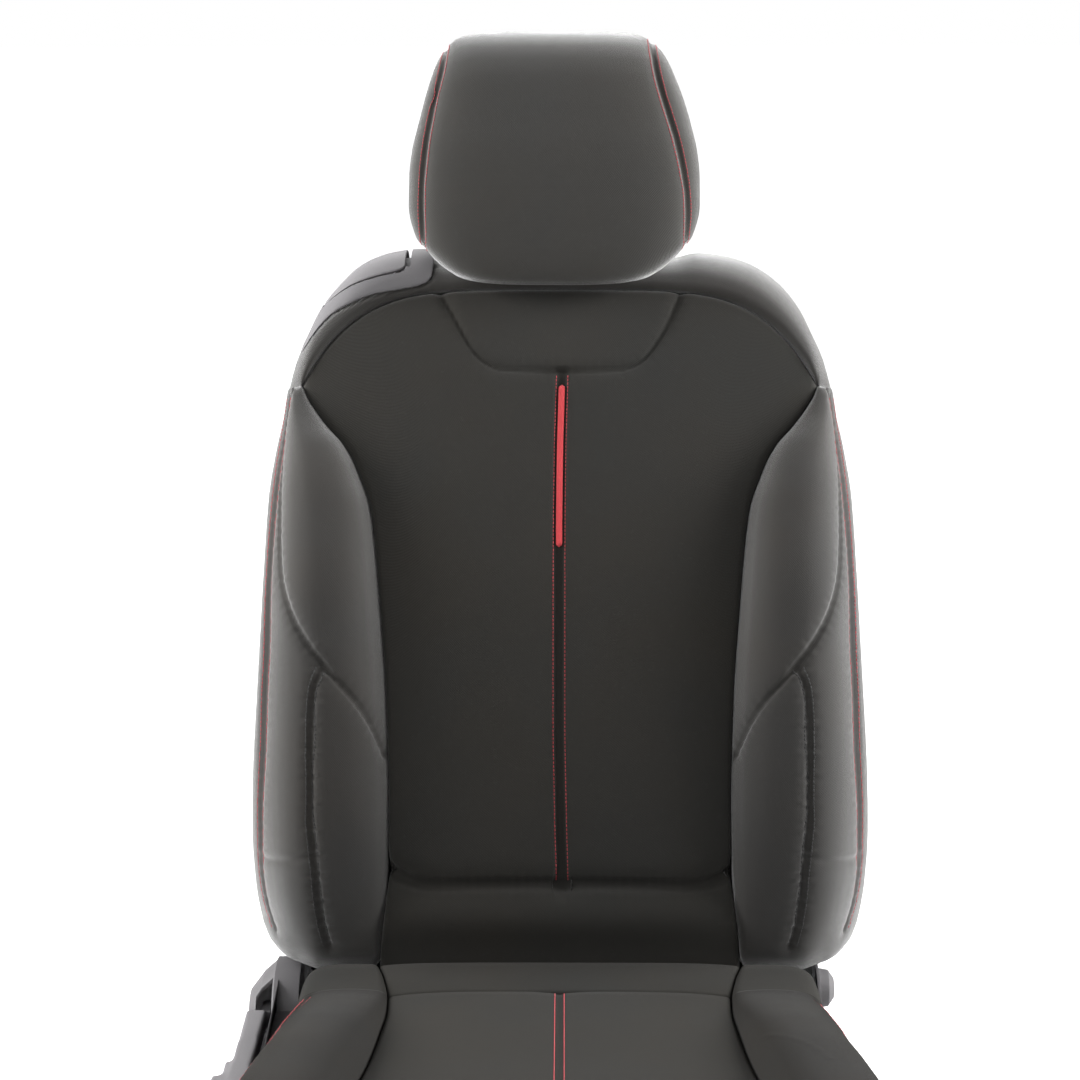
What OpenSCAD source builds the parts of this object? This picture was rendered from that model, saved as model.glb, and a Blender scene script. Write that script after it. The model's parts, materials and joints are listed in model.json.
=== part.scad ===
// Sport front seat for a passenger car, on slide rails with a height adjuster.
// Origin: middle of the four floor bolts, at floor level. The sitter faces -Y,
// +Z is up, +X is the inboard side, -X the outboard side that carries the levers.
// The modules are drawn in the seat's own frame, in which the bolt pattern lies
// at y = rail_mid_y; placed() moves each piece to the origin above.
// Recline hinge: axis +X through [0, pivot_y - rail_mid_y, pivot_z].

/* [Backrest] */
// Lean of the backrest from upright at rest, degrees
lean = 20; // [17:0.5:23]
// Widest width of the backrest across its bolsters
back_w = 546; // [530:1:562]
// Forward reach of the centre panel in front of the recline hinge
centre_reach = 97; // [92:1:102]
// Extra forward reach of the side bolsters over the centre panel
bolster_rise = 38; // [28:1:42]
// Depth of the stitched centre channel
channel_depth = 5; // [3:0.5:7]
// Width of the sewn-in centre tab
tab_w = 5.5; // [4:0.5:8]
// Thickness of the plastic panel behind the backrest
back_panel_t = 2.6; // [2:0.2:3.4]

/* [Headrest] */
// Width of the headrest
head_w = 260; // [240:1:270]
// Thickness of the headrest, front to back
head_d = 104; // [94:1:110]
// Spacing of the two headrest posts
post_pitch = 140; // [120:1:150]
// Diameter of a headrest post
post_d = 12; // [10:0.5:13]

/* [Cushion] */
// Width of the cushion at its widest
cushion_w = 512; // [500:1:516]
// Height of the sitting surface above the floor at the rear seam
sit_h = 284; // [278:1:286]
// Rise of the sitting surface from the rear seam to the front edge
sit_rise = 34; // [26:1:44]
// Rise of the cushion bolsters over the sitting surface
side_rise = 26; // [16:1:30]

/* [Frame] */
// Thickness of the pressed steel frame sheet
sheet_t = 2.5; // [2:0.1:3]
// Outer diameter of the rear cross tube
rear_tube_d = 28; // [24:1:30]
// Outer diameter of the front cross tube
front_tube_d = 24; // [20:1:26]
// Wall of the cross tubes
tube_wall = 2; // [1.5:0.1:3]
// Wire diameter of the seat springs
spring_wire_d = 3.6; // [3:0.1:4]
// Wire diameter of the backrest mat
mat_wire_d = 3.4; // [2.6:0.1:4]
// Diameter of the recliner discs
recliner_d = 70; // [64:1:74]
// Diameter of the recliner cross shaft
shaft_d = 11; // [9:0.5:12]

/* [Height adjuster] */
// Length of a lifting link between its two pivots
link_len = 75; // [70:1:80]
// Lean of a link from upright at rest, degrees
link_lean = 40; // [38:0.5:42]
// Diameter of the lower link pins
link_pin_d = 12; // [10:0.5:13]
// Thickness of a lifting link
link_t = 4; // [3:0.2:4.4]

/* [Rails] */
// Distance between the two slide rails, centre to centre
rail_pitch = 410; // [408:0.5:412]
// Length of a lower rail
rail_len = 560; // [540:1:580]
// Length of an upper rail
carriage_len = 350; // [340:1:352]
// Outer width of a lower rail
rail_w = 44; // [43:0.2:45]
// Wall of a lower rail
rail_wall = 2.5; // [2:0.1:3]
// Distance from the end of a lower rail to its floor bolt
bolt_inset = 20; // [18:1:30]
// Diameter of a floor bolt hole
bolt_hole_d = 9; // [8.4:0.1:11]

/* [Levers] */
// Length of the recline lever from its shaft
recline_lever_len = 240; // [215:1:245]
// Length of the height lever from its pivot
height_lever_len = 190; // [160:1:210]
// Length of the shoulder lever paddle
shoulder_lever_len = 92; // [84:1:96]

/* [Clearances] */
// Play round a running pin or shaft, on the radius
run_gap = 0.05; // [0.03:0.01:0.09]
// Play between the slide shoes and the lower rail
shoe_gap = 0.1; // [0.06:0.02:0.2]
// Space left between neighbouring covers and pads
seat_gap = 0.3; // [0.2:0.05:0.4]

/* [Hidden] */
pivot_y = 170;
pivot_z = 200;
eps = 0.01;
rail_x = rail_pitch / 2;
rail_mid_y = -40;
bolt_span_y = rail_len - 2 * bolt_inset;
rail_floor_z = 14;
rail_h = 28;
stem_w = 12;
stem_top = 60;
foot_t = 4;
foot_x = rail_x - rail_w / 2 - 18;
riser_x = 195;
riser_t = 3;
link_x = riser_x + riser_t + 1;
web_x = 206;
web_out = web_x + sheet_t;
collar_out = web_out + 3.4;
low_z = 86;
rear_low_y = 100;
front_low_y = -180;
link_dy = link_len * sin(link_lean);
link_dz = link_len * cos(link_lean);
rear_up = [rear_low_y + link_dy, low_z + link_dz];
front_up = [front_low_y + link_dy, low_z + link_dz];
disc_fixed_x = web_out;
disc_t = 6.5;
disc_move_x = disc_fixed_x + disc_t + 0.3;
back_web_x = disc_move_x + disc_t;
back_tilt = 3.5;
back_bend_s = 90;
top_tube_s = 586;
cable_d = 5;
foam_z = 207;
tail_y = 37;
tail_end = 118;
kx = back_w / 546;
kf = centre_reach / 97;
kr = bolster_rise / 38;
foam_back_f = 27;
bolster_low_s = 56.5;
pad_wall = 13.5;
post_f = 14;
sleeve_r = post_d / 2 + 4;
pump_y = 20;
pump_z = 168;
cover_x = 228;
inner_x = 225.6;
inner_dome_r = 49.4;
dome_r = 54;
lever_x = 276;
recline_x = 253;
tip_s = 556;
latch_y = -60;
latch_z = 47;

// ---------- shared helpers ----------

// from the seat's own frame to the middle of the floor bolts
module placed() {
  translate([0, -rail_mid_y, 0]) children();
}

// profile in (x, z), run along Y
module along_y(y0, y1) {
  translate([0, y1, 0]) rotate([90, 0, 0]) linear_extrude(y1 - y0) children();
}

// profile in (y, z), run along X
module along_x(x0, x1) {
  translate([x0, 0, 0]) rotate([90, 0, 90]) linear_extrude(x1 - x0) children();
}

// round bar along X between x0 and x1 at [y, z]
module bar_x(x0, x1, y, z, r, r_in = 0) {
  translate([x0, y, z]) rotate([0, 90, 0]) difference() {
    cylinder(h = x1 - x0, r = r, $fn = 48);
    if (r_in > 0) translate([0, 0, -1]) cylinder(h = x1 - x0 + 2, r = r_in, $fn = 48);
  }
}

// straight round bar between two points
module rod(a, b, r) {
  d = b - a;
  l = norm(d);
  translate(a) rotate([0, acos(d[2] / l), atan2(d[1], d[0])]) cylinder(h = l, r = r, $fn = 32);
}

// bent round bar through a list of points, with ball corners
module bent_rod(pts, r) {
  for (i = [0 : len(pts) - 2]) rod(pts[i], pts[i + 1], r);
  if (len(pts) > 2) for (i = [1 : len(pts) - 2]) translate(pts[i]) sphere(r = r * 1.04, $fn = 32);
}

// side = 1 for the inboard piece as drawn, -1 for its mirror image
module on_side(side) {
  mirror([side < 0 ? 1 : 0, 0, 0]) children();
}

// backrest axes: x across, y = backward, z = up along the backrest
module on_back() {
  translate([0, pivot_y, pivot_z]) rotate([-lean, 0, 0]) children();
}

// closed solid through a list of rings that share one point count;
// paired closes its ends across, for end rings that are not flat
module loft(rings, paired = false) {
  n = len(rings[0]);
  m = len(rings);
  points = [for (ring = rings) for (p = ring) p];
  walls = [for (j = [0 : m - 2]) for (i = [0 : n - 1])
    let (a = j * n + i, b = j * n + (i + 1) % n, c = (j + 1) * n + (i + 1) % n, d = (j + 1) * n + i)
    each [[a, c, b], [a, d, c]]];
  k = (m - 1) * n;
  flat_ends = [[for (i = [0 : n - 1]) i], [for (i = [n - 1 : -1 : 0]) k + i]];
  paired_ends = [for (i = [0 : n / 2 - 2]) let (j = n - 1 - i)
    each [[i, i + 1, j], [i + 1, j - 1, j], [k + i + 1, k + i, k + j], [k + i + 1, k + j, k + j - 1]]];
  ends = paired ? paired_ends : flat_ends;
  polyhedron(points = points, faces = concat(walls, ends), convexity = 6);
}

// soft bump used for sewn channels
function dip(x, w) = exp(-(x / w) * (x / w));

// ---------- backrest shape ----------

// half width of the backrest at height s along it
function half_w(s) = kx * lookup(s, [[40, 240], [54, 247], [76, 258], [98, 263], [120, 267],
  [165, 272], [209, 273], [298, 269], [388, 265], [457, 262], [502, 256], [548, 247],
  [571, 242], [594, 236], [617, 226], [640, 215], [663, 196], [680, 170], [690, 135]]);

// half width of the centre panel at height s
function seam_x(s) = kx * lookup(s, [[15, 156], [60, 154], [103, 150], [142, 148.5], [191, 147.5],
  [279, 150], [366, 156.5], [402, 160], [446, 167], [475, 176], [504, 191], [533, 214],
  [tip_s, 227]]);

// forward reach of the centre panel at height s
function seam_f(s) = kf * lookup(s, [[15, 58], [60, 70], [100, 82], [140, 89], [200, 94], [300, 97],
  [363, 97], [450, 92], [520, 83], [tip_s, 77], [600, 68], [645, 56]]);

// forward reach of the bolster crest at height s
function crest_f(s) = seam_f(s) + kr * lookup(s, [[60, 4], [80, 8], [110, 14], [150, 22], [200, 30],
  [250, 35], [300, 38], [363, 38], [450, 30], [500, 20], [530, 9], [tip_s, 1]]);

// height of the top seam at u = -1..1 across the centre panel
function top_s(u) = tip_s + 89 * (1 - pow(abs(u), 5));

// top outline of the backrest at x
function crown_s(x) = lookup(abs(x) / kx, [[0, 684], [100, 684], [125, 689], [150, 686], [170, 680],
  [196, 663], [215, 640], [226, 617], [236, 594], [242, 573], [246, 560]]);

function centre_f(x, s) = seam_f(s)
  + 6 * (1 - pow(abs(x) / seam_x(min(s, tip_s)), 4)) * lookup(s, [[15, 0.4], [100, 1], [560, 1], [645, 0.2]])
  - channel_depth * dip(x, 8) * lookup(s, [[100, 0.3], [140, 1], [600, 1], [640, 0.3]])
  - 7 * dip(s - 117, 9) * lookup(abs(x), [[0, 1], [120, 1], [146, 0.3]]);

row_t = [0, 0.05, 0.1, 0.14, 0.165, 0.185, 0.205, 0.23, 0.27, 0.33, 0.4, 0.47, 0.54, 0.61,
  0.68, 0.74, 0.8, 0.85, 0.89, 0.93, 0.965, 1];
col_u = [-1, -0.93, -0.82, -0.66, -0.48, -0.3, -0.14, -0.07, -0.03, 0, 0.03, 0.07, 0.14, 0.3, 0.48,
  0.66, 0.82, 0.93, 1];

function row_s(t) = 15 + t * (tip_s - 15);
function grid_s(u, t) = 15 + t * (top_s(u) - 15);

module backrest_centre() {
  color([0.2, 0.2, 0.19]) on_back() loft([for (t = row_t)
    let (w = seam_x(row_s(t)) - seat_gap / 2)
    concat(
      [for (u = col_u) [u * w, -centre_f(u * w, grid_s(u, t)), grid_s(u, t)]],
      [for (i = [len(col_u) - 1 : -1 : 0]) [col_u[i] * w, -foam_back_f, grid_s(col_u[i], t)]])], true);
}

bolster_s = concat([bolster_low_s], [for (t = row_t) if (t >= 0.1) row_s(t)]);

// outer line of the side frame at height s, with room for the pad
function frame_x(s) = back_web_x + sheet_t + 2 - max(0, s - back_bend_s) * tan(back_tilt);

function bolster_ring(s) =
  let (fx = frame_x(s), x0 = seam_x(s) + seat_gap / 2, x1 = max(half_w(s), fx + pad_wall), w = x1 - x0,
    f0 = seam_f(s), fc = crest_f(s), low = max(28, fc - 62))
  [for (p = [[x0, f0], [x0 + 0.08 * w, f0 + 0.5 * (fc - f0)], [x0 + 0.22 * w, f0 + 0.86 * (fc - f0)],
    [x0 + 0.4 * w, fc], [x0 + 0.58 * w, fc - 3], [x0 + 0.74 * w, fc - 13],
    [x0 + 0.87 * w, fc - 0.55 * (fc - low)], [x0 + 0.96 * w, low + 0.3 * (low - 20) + 2], [x1, 0.5 * low],
    [x1, -8], [x1 - 2, -28], [x1 - 10, -37], [fx, -37], [fx, foam_back_f], [x0, foam_back_f]])
    [p[0], -p[1], s]];

module backrest_bolster(side) {
  color([0.19, 0.19, 0.18]) on_side(side) on_back() loft([for (s = bolster_s) bolster_ring(s)]);
}

roll_u = concat([-1.075, -1.06, -1.03], col_u, [1.03, 1.06, 1.075]);

function roll_ring(u) =
  let (x = u * seam_x(tip_s), low = top_s(min(abs(u), 1)) + seat_gap, top = crown_s(x),
    f = seam_f(low) * lookup(abs(u), [[0, 1], [0.98, 1], [1.03, 0.8], [1.075, 0.35]]), h = top - low)
  [for (p = [[f, low], [f + 1, low + 0.12 * h], [f * 0.9, low + 0.42 * h], [f * 0.6, low + 0.75 * h],
    [f * 0.25, low + 0.94 * h], [-4, top], [-22, top - 0.05 * h], [-33, top - 0.2 * h],
    [-37, top - 0.45 * h], [-37, low]]) [x, -p[0], p[1]]];

module backrest_top() {
  color([0.22, 0.22, 0.21]) difference() {
    on_back() loft([for (i = [len(roll_u) - 1 : -1 : 0]) roll_ring(roll_u[i])]);
    for (x = [-1, 1]) on_back() translate([x * post_pitch / 2, -post_f, 560])
      cylinder(h = 200, r = sleeve_r + 0.4, $fn = 24);
    on_back() along_depth(-30.4, 24.4) shoulder_band(lever_in - 16.4, lever_out + 13.4, -30, 19.4);
    on_back() rod(cable_line[0] + [0, 0, 3], cable_line[1], cable_d / 2 + 0.6);
  }
}

// plastic shell behind the backrest
module back_panel_outline(inset) {
  s_list = [40, 76, 120, 209, 298, 388, 457, 502, 548, 594, 617, 640, 655];
  right = [for (s = s_list) [s < 50 ? 235 - inset : half_w(s) - inset, s < 50 ? 22 + inset : s]];
  top = [[185 - inset * 0.6, 672 - inset], [150, 680 - inset], [0, 682 - inset]];
  half = concat(right, top);
  polygon(concat(half, [for (i = [len(half) - 2 : -1 : 0]) [-half[i][0], half[i][1]]]));
}

module back_panel() {
  color([0.12, 0.12, 0.125]) on_back() {
    translate([0, 49, 0]) rotate([90, 0, 0]) linear_extrude(back_panel_t) back_panel_outline(11);
    translate([0, 49, 0]) rotate([90, 0, 0]) linear_extrude(11.6) difference() {
      back_panel_outline(11);
      back_panel_outline(11 + back_panel_t);
    }
  }
}

module centre_tab() {
  s_list = [for (i = [0 : 12]) 411 + i * 12.1];
  color([0.8, 0.22, 0.24]) on_back() loft([for (s = s_list)
    let (f = centre_f(tab_w / 2, s) + seat_gap)
    [for (p = [[-tab_w / 2, 0], [-tab_w / 2, 1.6], [-tab_w / 4, 2.6], [tab_w / 4, 2.6],
      [tab_w / 2, 1.6], [tab_w / 2, 0]]) [p[0], -f - p[1], s]]]);
}

// ---------- shoulder release ----------

// point on the shoulder line at x, moved in by depth d along the line's normal
function shoulder_pt(x, d) =
  let (a = atan2(crown_s(x - 4) - crown_s(x + 4), 8))
  [-x - d * -sin(a), crown_s(x) - d * cos(a)];

// band under the shoulder line from x0 to x1, between depths d0 and d1
module shoulder_band(x0, x1, d0, d1, bulge = 0) {
  n = 12;
  xs = [for (i = [0 : n]) x0 + (x1 - x0) * i / n];
  polygon(concat([for (i = [0 : n]) shoulder_pt(xs[i], d0 - bulge * sin(180 * i / n))],
    [for (i = [n : -1 : 0]) shoulder_pt(xs[i], d1)]));
}

module along_depth(y0, y1) {
  translate([0, y1, 0]) rotate([90, 0, 0]) linear_extrude(y1 - y0) children();
}

lever_in = 141 * kx;
lever_out = lever_in + shoulder_lever_len * 0.78;
lever_hinge = [-lever_in - 7, crown_s(lever_in + 7) - 8];

module shoulder_bezel() {
  color([0.3, 0.29, 0.3]) on_back() {
    difference() {
      along_depth(-30, 24) shoulder_band(lever_in - 16, lever_out + 13, -1.5, 19);
      along_depth(-20, 16) shoulder_band(lever_in - 2.2, lever_out + 2.2, -20, 15.5);
    }
    translate([lever_hinge[0], 17, lever_hinge[1]]) rotate([90, 0, 0]) cylinder(h = 38, r = 2.5, $fn = 32);
  }
}

module shoulder_lever() {
  color([0.34, 0.33, 0.34]) on_back() difference() {
    union() {
      along_depth(-17, 13) shoulder_band(lever_in + 5, lever_out, -1, 6.5, 3);
      translate([lever_hinge[0], 13, lever_hinge[1]]) rotate([90, 0, 0]) cylinder(h = 30, r = 5.2, $fn = 48);
    }
    translate([lever_hinge[0], 20, lever_hinge[1]]) rotate([90, 0, 0])
      cylinder(h = 50, r = 2.5 + run_gap, $fn = 48);
  }
}

// route of the cable from the shoulder down to the recliner
cable_line = [[-166, -6, 658.6], [-170, -6, 560], [-182, -6, 400], [-196, -6, 190], [-204, -5, 90],
  [-206, -4, 60], [-219.5, -3, 42]];

module release_cable() {
  color([0.08, 0.08, 0.08]) on_back() bent_rod(cable_line, cable_d / 2);
}

// ---------- headrest ----------

// height, half width and share of the full thickness of each row, bottom to top
head_rows = [[690, 92, 0.72], [695, 104, 0.86], [707, 126, 0.96], [725, 130, 1], [745, 130, 1],
  [766, 128, 0.99], [788, 124, 0.96], [810, 119, 0.93], [832, 113, 0.89], [848, 108, 0.81],
  [862, 101, 0.68], [873, 92, 0.5], [880, 77, 0.25]];

function head_mid(s) = lookup(s, [[690, 47], [740, 46], [880, 36]]);
function head_slope(s) = 0.8 * max(0, 730 - s) / 40;

function head_ring(row) =
  let (w = row[1] * head_w / 260, d = head_d * row[2] / 2, n = 28)
  [for (i = [0 : n - 1]) let (a = -i * 360 / n, c = cos(a), q = sin(a),
    f = head_mid(row[0]) + d * sign(q) * pow(abs(q), 0.66))
    [w * sign(c) * pow(abs(c), 0.62), -f, row[0] - head_slope(row[0]) * (f - foam_back_f)]];

module headrest_pad() {
  color([0.21, 0.21, 0.2]) difference() {
    on_back() loft([for (row = head_rows) head_ring(row)]);
    for (x = [-1, 1]) on_back() translate([x * post_pitch / 2, -post_f, 600])
      cylinder(h = 190, r = post_d / 2 + seat_gap, $fn = 24);
    on_back() translate([-post_pitch / 2 - 8, -post_f - post_d / 2 - 1, 780])
      cube([post_pitch + 16, post_d + 2, 18]);
  }
}

module headrest_posts() {
  x = post_pitch / 2;
  color([0.62, 0.63, 0.64]) on_back() bent_rod([[x, -post_f, 570], [x, -post_f, 789], [-x, -post_f, 789],
    [-x, -post_f, 570]], post_d / 2);
}

module headrest_sleeve(side) {
  x = side * post_pitch / 2;
  color([0.1, 0.1, 0.1]) on_back() difference() {
    union() {
      translate([x, -post_f, top_tube_s - 12]) cylinder(h = 115, r = sleeve_r, $fn = 48);
      translate([x, -post_f, 684.7]) cylinder(h = 4.3, r = sleeve_r + 2, $fn = 48);
      translate([x - 9, -post_f, top_tube_s - 6]) cube([18, 13.6, 14]);
      if (side < 0) translate([x - 26, -post_f - 7, 684.7]) cube([20, 14, 6.3]);
    }
    translate([x, -post_f, top_tube_s - 20]) cylinder(h = 140, r = post_d / 2 + run_gap, $fn = 48);
    bar_x(-200, 200, 10, top_tube_s, 11);
    if (side < 0) translate([x - 27, -post_f - 4.5, 686]) cube([13, 9, 3.6]);
  }
}

module headrest_button() {
  x = -post_pitch / 2;
  color([0.13, 0.13, 0.13]) on_back() translate([x - 30, -post_f - 4.2, 686.2]) cube([12.6, 8.4, 3.2]);
}

// ---------- backrest frame ----------

module back_side(side) {
  color([0.13, 0.13, 0.14]) on_side(side) on_back() {
    difference() {
      along_x(back_web_x, back_web_x + sheet_t) polygon([[-34, -18], [-22, -36], [22, -36], [34, -18],
        [34, 40], [30, back_bend_s], [-22, back_bend_s], [-25, 50], [-34, 28]]);
      bar_x(back_web_x - 1, back_web_x + sheet_t + 1, 0, 0, shaft_d / 2 + 1);
    }
    along_x(back_web_x - 12, back_web_x + eps) polygon([[30, 46], [32.5, 46], [32.5, back_bend_s],
      [30, back_bend_s]]);
    translate([back_web_x, 0, back_bend_s]) rotate([0, -back_tilt, 0]) translate([-back_web_x, 0, 0]) {
      along_x(back_web_x, back_web_x + sheet_t) polygon([[30, -3], [26, 200], [22, 360], [18, 510],
        [-14, 510], [-18, 360], [-20, 200], [-22, -3]]);
      along_x(back_web_x - 13, back_web_x + eps) polygon([[30, 6], [26, 200], [22, 360], [18.7, 482],
        [16.2, 482], [19.5, 360], [23.5, 200], [27.5, 6]]);
      along_x(back_web_x - 13, back_web_x + eps) polygon([[-22, 6], [-20, 200], [-18, 360], [-14, 500],
        [-11.5, 500], [-15.5, 360], [-17.5, 200], [-19.5, 6]]);
    }
  }
}

module back_top_tube() {
  x = back_web_x - (top_tube_s + 11 - back_bend_s) * tan(back_tilt) - 0.05;
  color([0.13, 0.13, 0.14]) on_back() bar_x(-x, x, 10, top_tube_s, 11, 11 - tube_wall);
}

module back_lower_tube() {
  color([0.13, 0.13, 0.14]) on_back() bar_x(-back_web_x, back_web_x, 14, 62, 11, 11 - tube_wall);
}

// the mat lies on the front flanges of the side frames
function mat_y(s) = -(24.2 - (s - back_bend_s) * 0.012);

module back_mat() {
  r = mat_wire_d / 2;
  color([0.4, 0.4, 0.42]) on_back() {
    for (x = [-95, 95]) rod([x, mat_y(140), 140], [x, mat_y(520), 520], r);
    for (s = [150 : 60 : 510]) {
      e = back_web_x - 3 - (s - back_bend_s) * tan(back_tilt);
      rod([-e, mat_y(s) - 0.6, s], [e, mat_y(s) - 0.6, s], r - 0.2);
    }
  }
}

module recliner_fixed(side) {
  color([0.45, 0.45, 0.46]) on_side(side) difference() {
    bar_x(disc_fixed_x, disc_fixed_x + disc_t, pivot_y, pivot_z, recliner_d / 2);
    bar_x(disc_fixed_x - 1, disc_fixed_x + disc_t + 1, pivot_y, pivot_z, 15 + run_gap);
  }
}

module recliner_moving(side) {
  color([0.5, 0.5, 0.51]) on_side(side) difference() {
    union() {
      bar_x(disc_move_x, disc_move_x + disc_t, pivot_y, pivot_z, recliner_d / 2 - 3);
      bar_x(disc_fixed_x + 0.5, disc_move_x + 1, pivot_y, pivot_z, 15);
    }
    bar_x(disc_fixed_x - 1, disc_move_x + disc_t + 1, pivot_y, pivot_z, shaft_d / 2 + run_gap);
  }
}

module recliner_shaft() {
  color([0.5, 0.5, 0.51]) bar_x(-recline_x - 9, disc_move_x + disc_t, pivot_y, pivot_z, shaft_d / 2);
}

// ---------- cushion ----------

// sitting surface height at y
function sit_z(y) = sit_h + sit_rise * lookup(y, [[-345, 0.86], [-335, 0.95], [-315, 1], [-290, 0.99],
  [-240, 0.8], [-180, 0.54], [-100, 0.25], [0, 0.04], [40, 0]]);
function nose_z(y) = sit_z(y) - lookup(-y, [[0, 0], [318, 0], [333, 6], [341, 16], [347, 34]]);
function cushion_x(y) = cushion_w / 512 * lookup(y, [[-347, 236], [-335, 244], [-300, 252], [-240, 256],
  [-150, 248], [-100, 241], [-50, 233.5], [0, 227], [40, 221]]);
function insert_x(y) = lookup(y, [[-347, 170], [-300, 168], [-200, 158], [-100, 148], [0, 142], [40, 143]]);
function crest_z(y) = nose_z(y) + side_rise * lookup(y, [[-347, 0.1], [-335, 0.5], [-315, 0.8], [-250, 1.1],
  [-150, 1.2], [-80, 1], [-30, 0.62], [0, 0.3], [30, 0.05]]);

cushion_y = [-347, -342, -336.1, -335.8, -322, -300, -262, -254, -246, -210, -160, -110, -60, -20, 10, 23, 31,
  tail_y];

function pad_floor(y) = y < -336 ? 186 - (y + 347) * 1.2 : foam_z;
function cushion_f(x, y) = nose_z(y)
  + 5 * (1 - pow(abs(x) / insert_x(y), 4)) * lookup(y, [[-347, 0], [-320, 0.7], [20, 1], [tail_y, 0.6]])
  - 5 * dip(x, 8) * lookup(y, [[-347, 0.2], [-320, 1], [26, 1], [tail_y, 0.2]])
  - 6 * dip(y - tail_y, 7) * lookup(abs(x), [[0, 1], [120, 1], [140, 0.3]])
  - 5 * dip(y + 254, 7) * lookup(abs(x), [[0, 1], [130, 1], [150, 0.3]]);

module cushion_centre() {
  color([0.22, 0.22, 0.21]) loft([for (y = cushion_y) let (w = insert_x(y) - seat_gap / 2)
    concat([for (u = col_u) [u * w, y, cushion_f(u * w, y)]],
      [for (i = [len(col_u) - 1 : -1 : 0]) [col_u[i] * w, y, pad_floor(y)]])], true);
}

function cushion_side_ring(y) =
  let (x0 = insert_x(y) + seat_gap / 2, x1 = cushion_x(y), w = x1 - x0, z0 = nose_z(y), zc = crest_z(y),
    step = y < -336 ? pad_floor(y) : 238, zs = max(min(zc - 26, z0 - 6), step + 8))
  [for (p = [[x0, z0], [x0 + 0.1 * w, z0 + 0.6 * (zc - z0)], [x0 + 0.28 * w, z0 + 0.92 * (zc - z0)],
    [x0 + 0.48 * w, zc], [x0 + 0.66 * w, zc - 3], [x0 + 0.83 * w, zc - 0.4 * (zc - zs)],
    [x0 + 0.95 * w, zs + 2], [x1, zs - 6], [x1, step], [min(x1 - 1, 224), step],
    [min(x1 - 1, 224), pad_floor(y)], [x0, pad_floor(y)]]) [p[0], y, p[1]]];

module cushion_bolster(side) {
  color([0.2, 0.2, 0.19]) on_side(side) loft([for (y = cushion_y) cushion_side_ring(y)]);
}

// soft tail of the cushion, pressed down by the backrest when it folds
function tail_x(y) = cushion_w / 512 * lookup(y, [[tail_y, 221], [90, 219.5], [106, 218], [113, 214],
  [tail_end, 206]]);
function skirt_x(y) = lookup(y, [[tail_y, 225], [106, 225], [113, 221], [tail_end, 214]]);
function tail_z(x, y) = sit_h + lookup(y, [[tail_y, -6], [43, -2], [51, 1], [64, 3], [85, 3], [100, 1],
  [110, -3], [115, -9], [tail_end, -21]]) - 5 * pow(abs(x) / tail_x(y), 6);

module cushion_tail() {
  color([0.21, 0.21, 0.2]) loft([for (y = [tail_y + seat_gap, 43, 51, 64, 85, 100, 110, 115, tail_end])
    let (w = tail_x(y), wide = skirt_x(y), skirt_z = min(262, tail_z(w, y) - 4))
    concat([[-wide, y, skirt_z]], [for (u = col_u) [u * w, y, tail_z(u * w, y)]],
      [[wide, y, skirt_z], [wide, y, foam_z]],
      [for (i = [len(col_u) - 1 : -1 : 0]) [col_u[i] * w, y, foam_z]], [[-wide, y, foam_z]])], true);
}

// ---------- seat frame ----------

module seat_side(side) {
  color([0.13, 0.13, 0.14]) on_side(side) {
    difference() {
      along_x(web_x, web_out) union() {
        polygon([[-335, foam_z - 0.3], [-335, 166], [-300, 148], [-170, 121], [150, 118], [182, 130],
          [190, 165], [150, foam_z - 0.3]]);
        translate([pivot_y, pivot_z]) circle(r = recliner_d / 2 + 3, $fn = 64);
      }
      bar_x(web_x - 1, web_out + 1, rear_up[0], rear_up[1], rear_tube_d / 2 + run_gap);
      bar_x(web_x - 1, web_out + 1, front_up[0], front_up[1], front_tube_d / 2 + run_gap);
      bar_x(web_x - 1, web_out + 1, pivot_y, pivot_z, 17);
      bar_x(web_x - 1, web_out + 1, pump_y, pump_z, 12.5);
      for (y = [-270, -210, -60]) bar_x(web_x - 1, web_out + 1, y, 176, 16);
    }
    along_x(web_out - eps, web_out + 13) polygon([[-335, foam_z - 0.3], [120, foam_z - 0.3],
      [120, foam_z - 2.8], [-335, foam_z - 2.8]]);
    along_x(web_out - eps, web_out + 13) polygon([[-300, 148], [-170, 121], [100, 118.5], [100, 121],
      [-169, 123.5], [-300, 150.5]]);
  }
}

module seat_pan() {
  t = 1.6;
  color([0.15, 0.15, 0.16]) difference() {
    along_x(-web_x, web_x) polygon([[-335, 170], [-335, foam_z - 0.3], [-110, foam_z - 0.3],
      [-84, foam_z - 9], [-70, foam_z - 9], [-70, foam_z - 9 - t], [-85, foam_z - 9 - t],
      [-111, foam_z - 0.3 - t], [-335 + t, foam_z - 0.3 - t], [-335 + t, 170]]);
    for (x = [-120, 0, 120]) translate([x, -230, 180]) cylinder(h = 40, r = 30, $fn = 48);
  }
}

module spring_rod() {
  color([0.13, 0.13, 0.14]) bar_x(-web_x, web_x, 98, 178, 5);
}

// one zigzag spring, its bends half circles in the plane of the spring
module zigzag(bends, pitch, wide, r) {
  for (i = [0 : bends - 1]) {
    s = i % 2 == 0 ? 1 : -1;
    translate([s * wide / 2, i * pitch + pitch / 2, 0]) rotate([0, 0, -s * 90])
      rotate_extrude(angle = 180, $fn = 48) translate([pitch / 2, 0]) circle(r = r, $fn = 24);
    translate([0, (i + 1) * pitch, 0]) rotate([0, 90, 0]) cylinder(h = wide, r = r, center = true, $fn = 24);
  }
  rotate([0, 90, 0]) cylinder(h = wide, r = r, center = true, $fn = 24);
}

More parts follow.
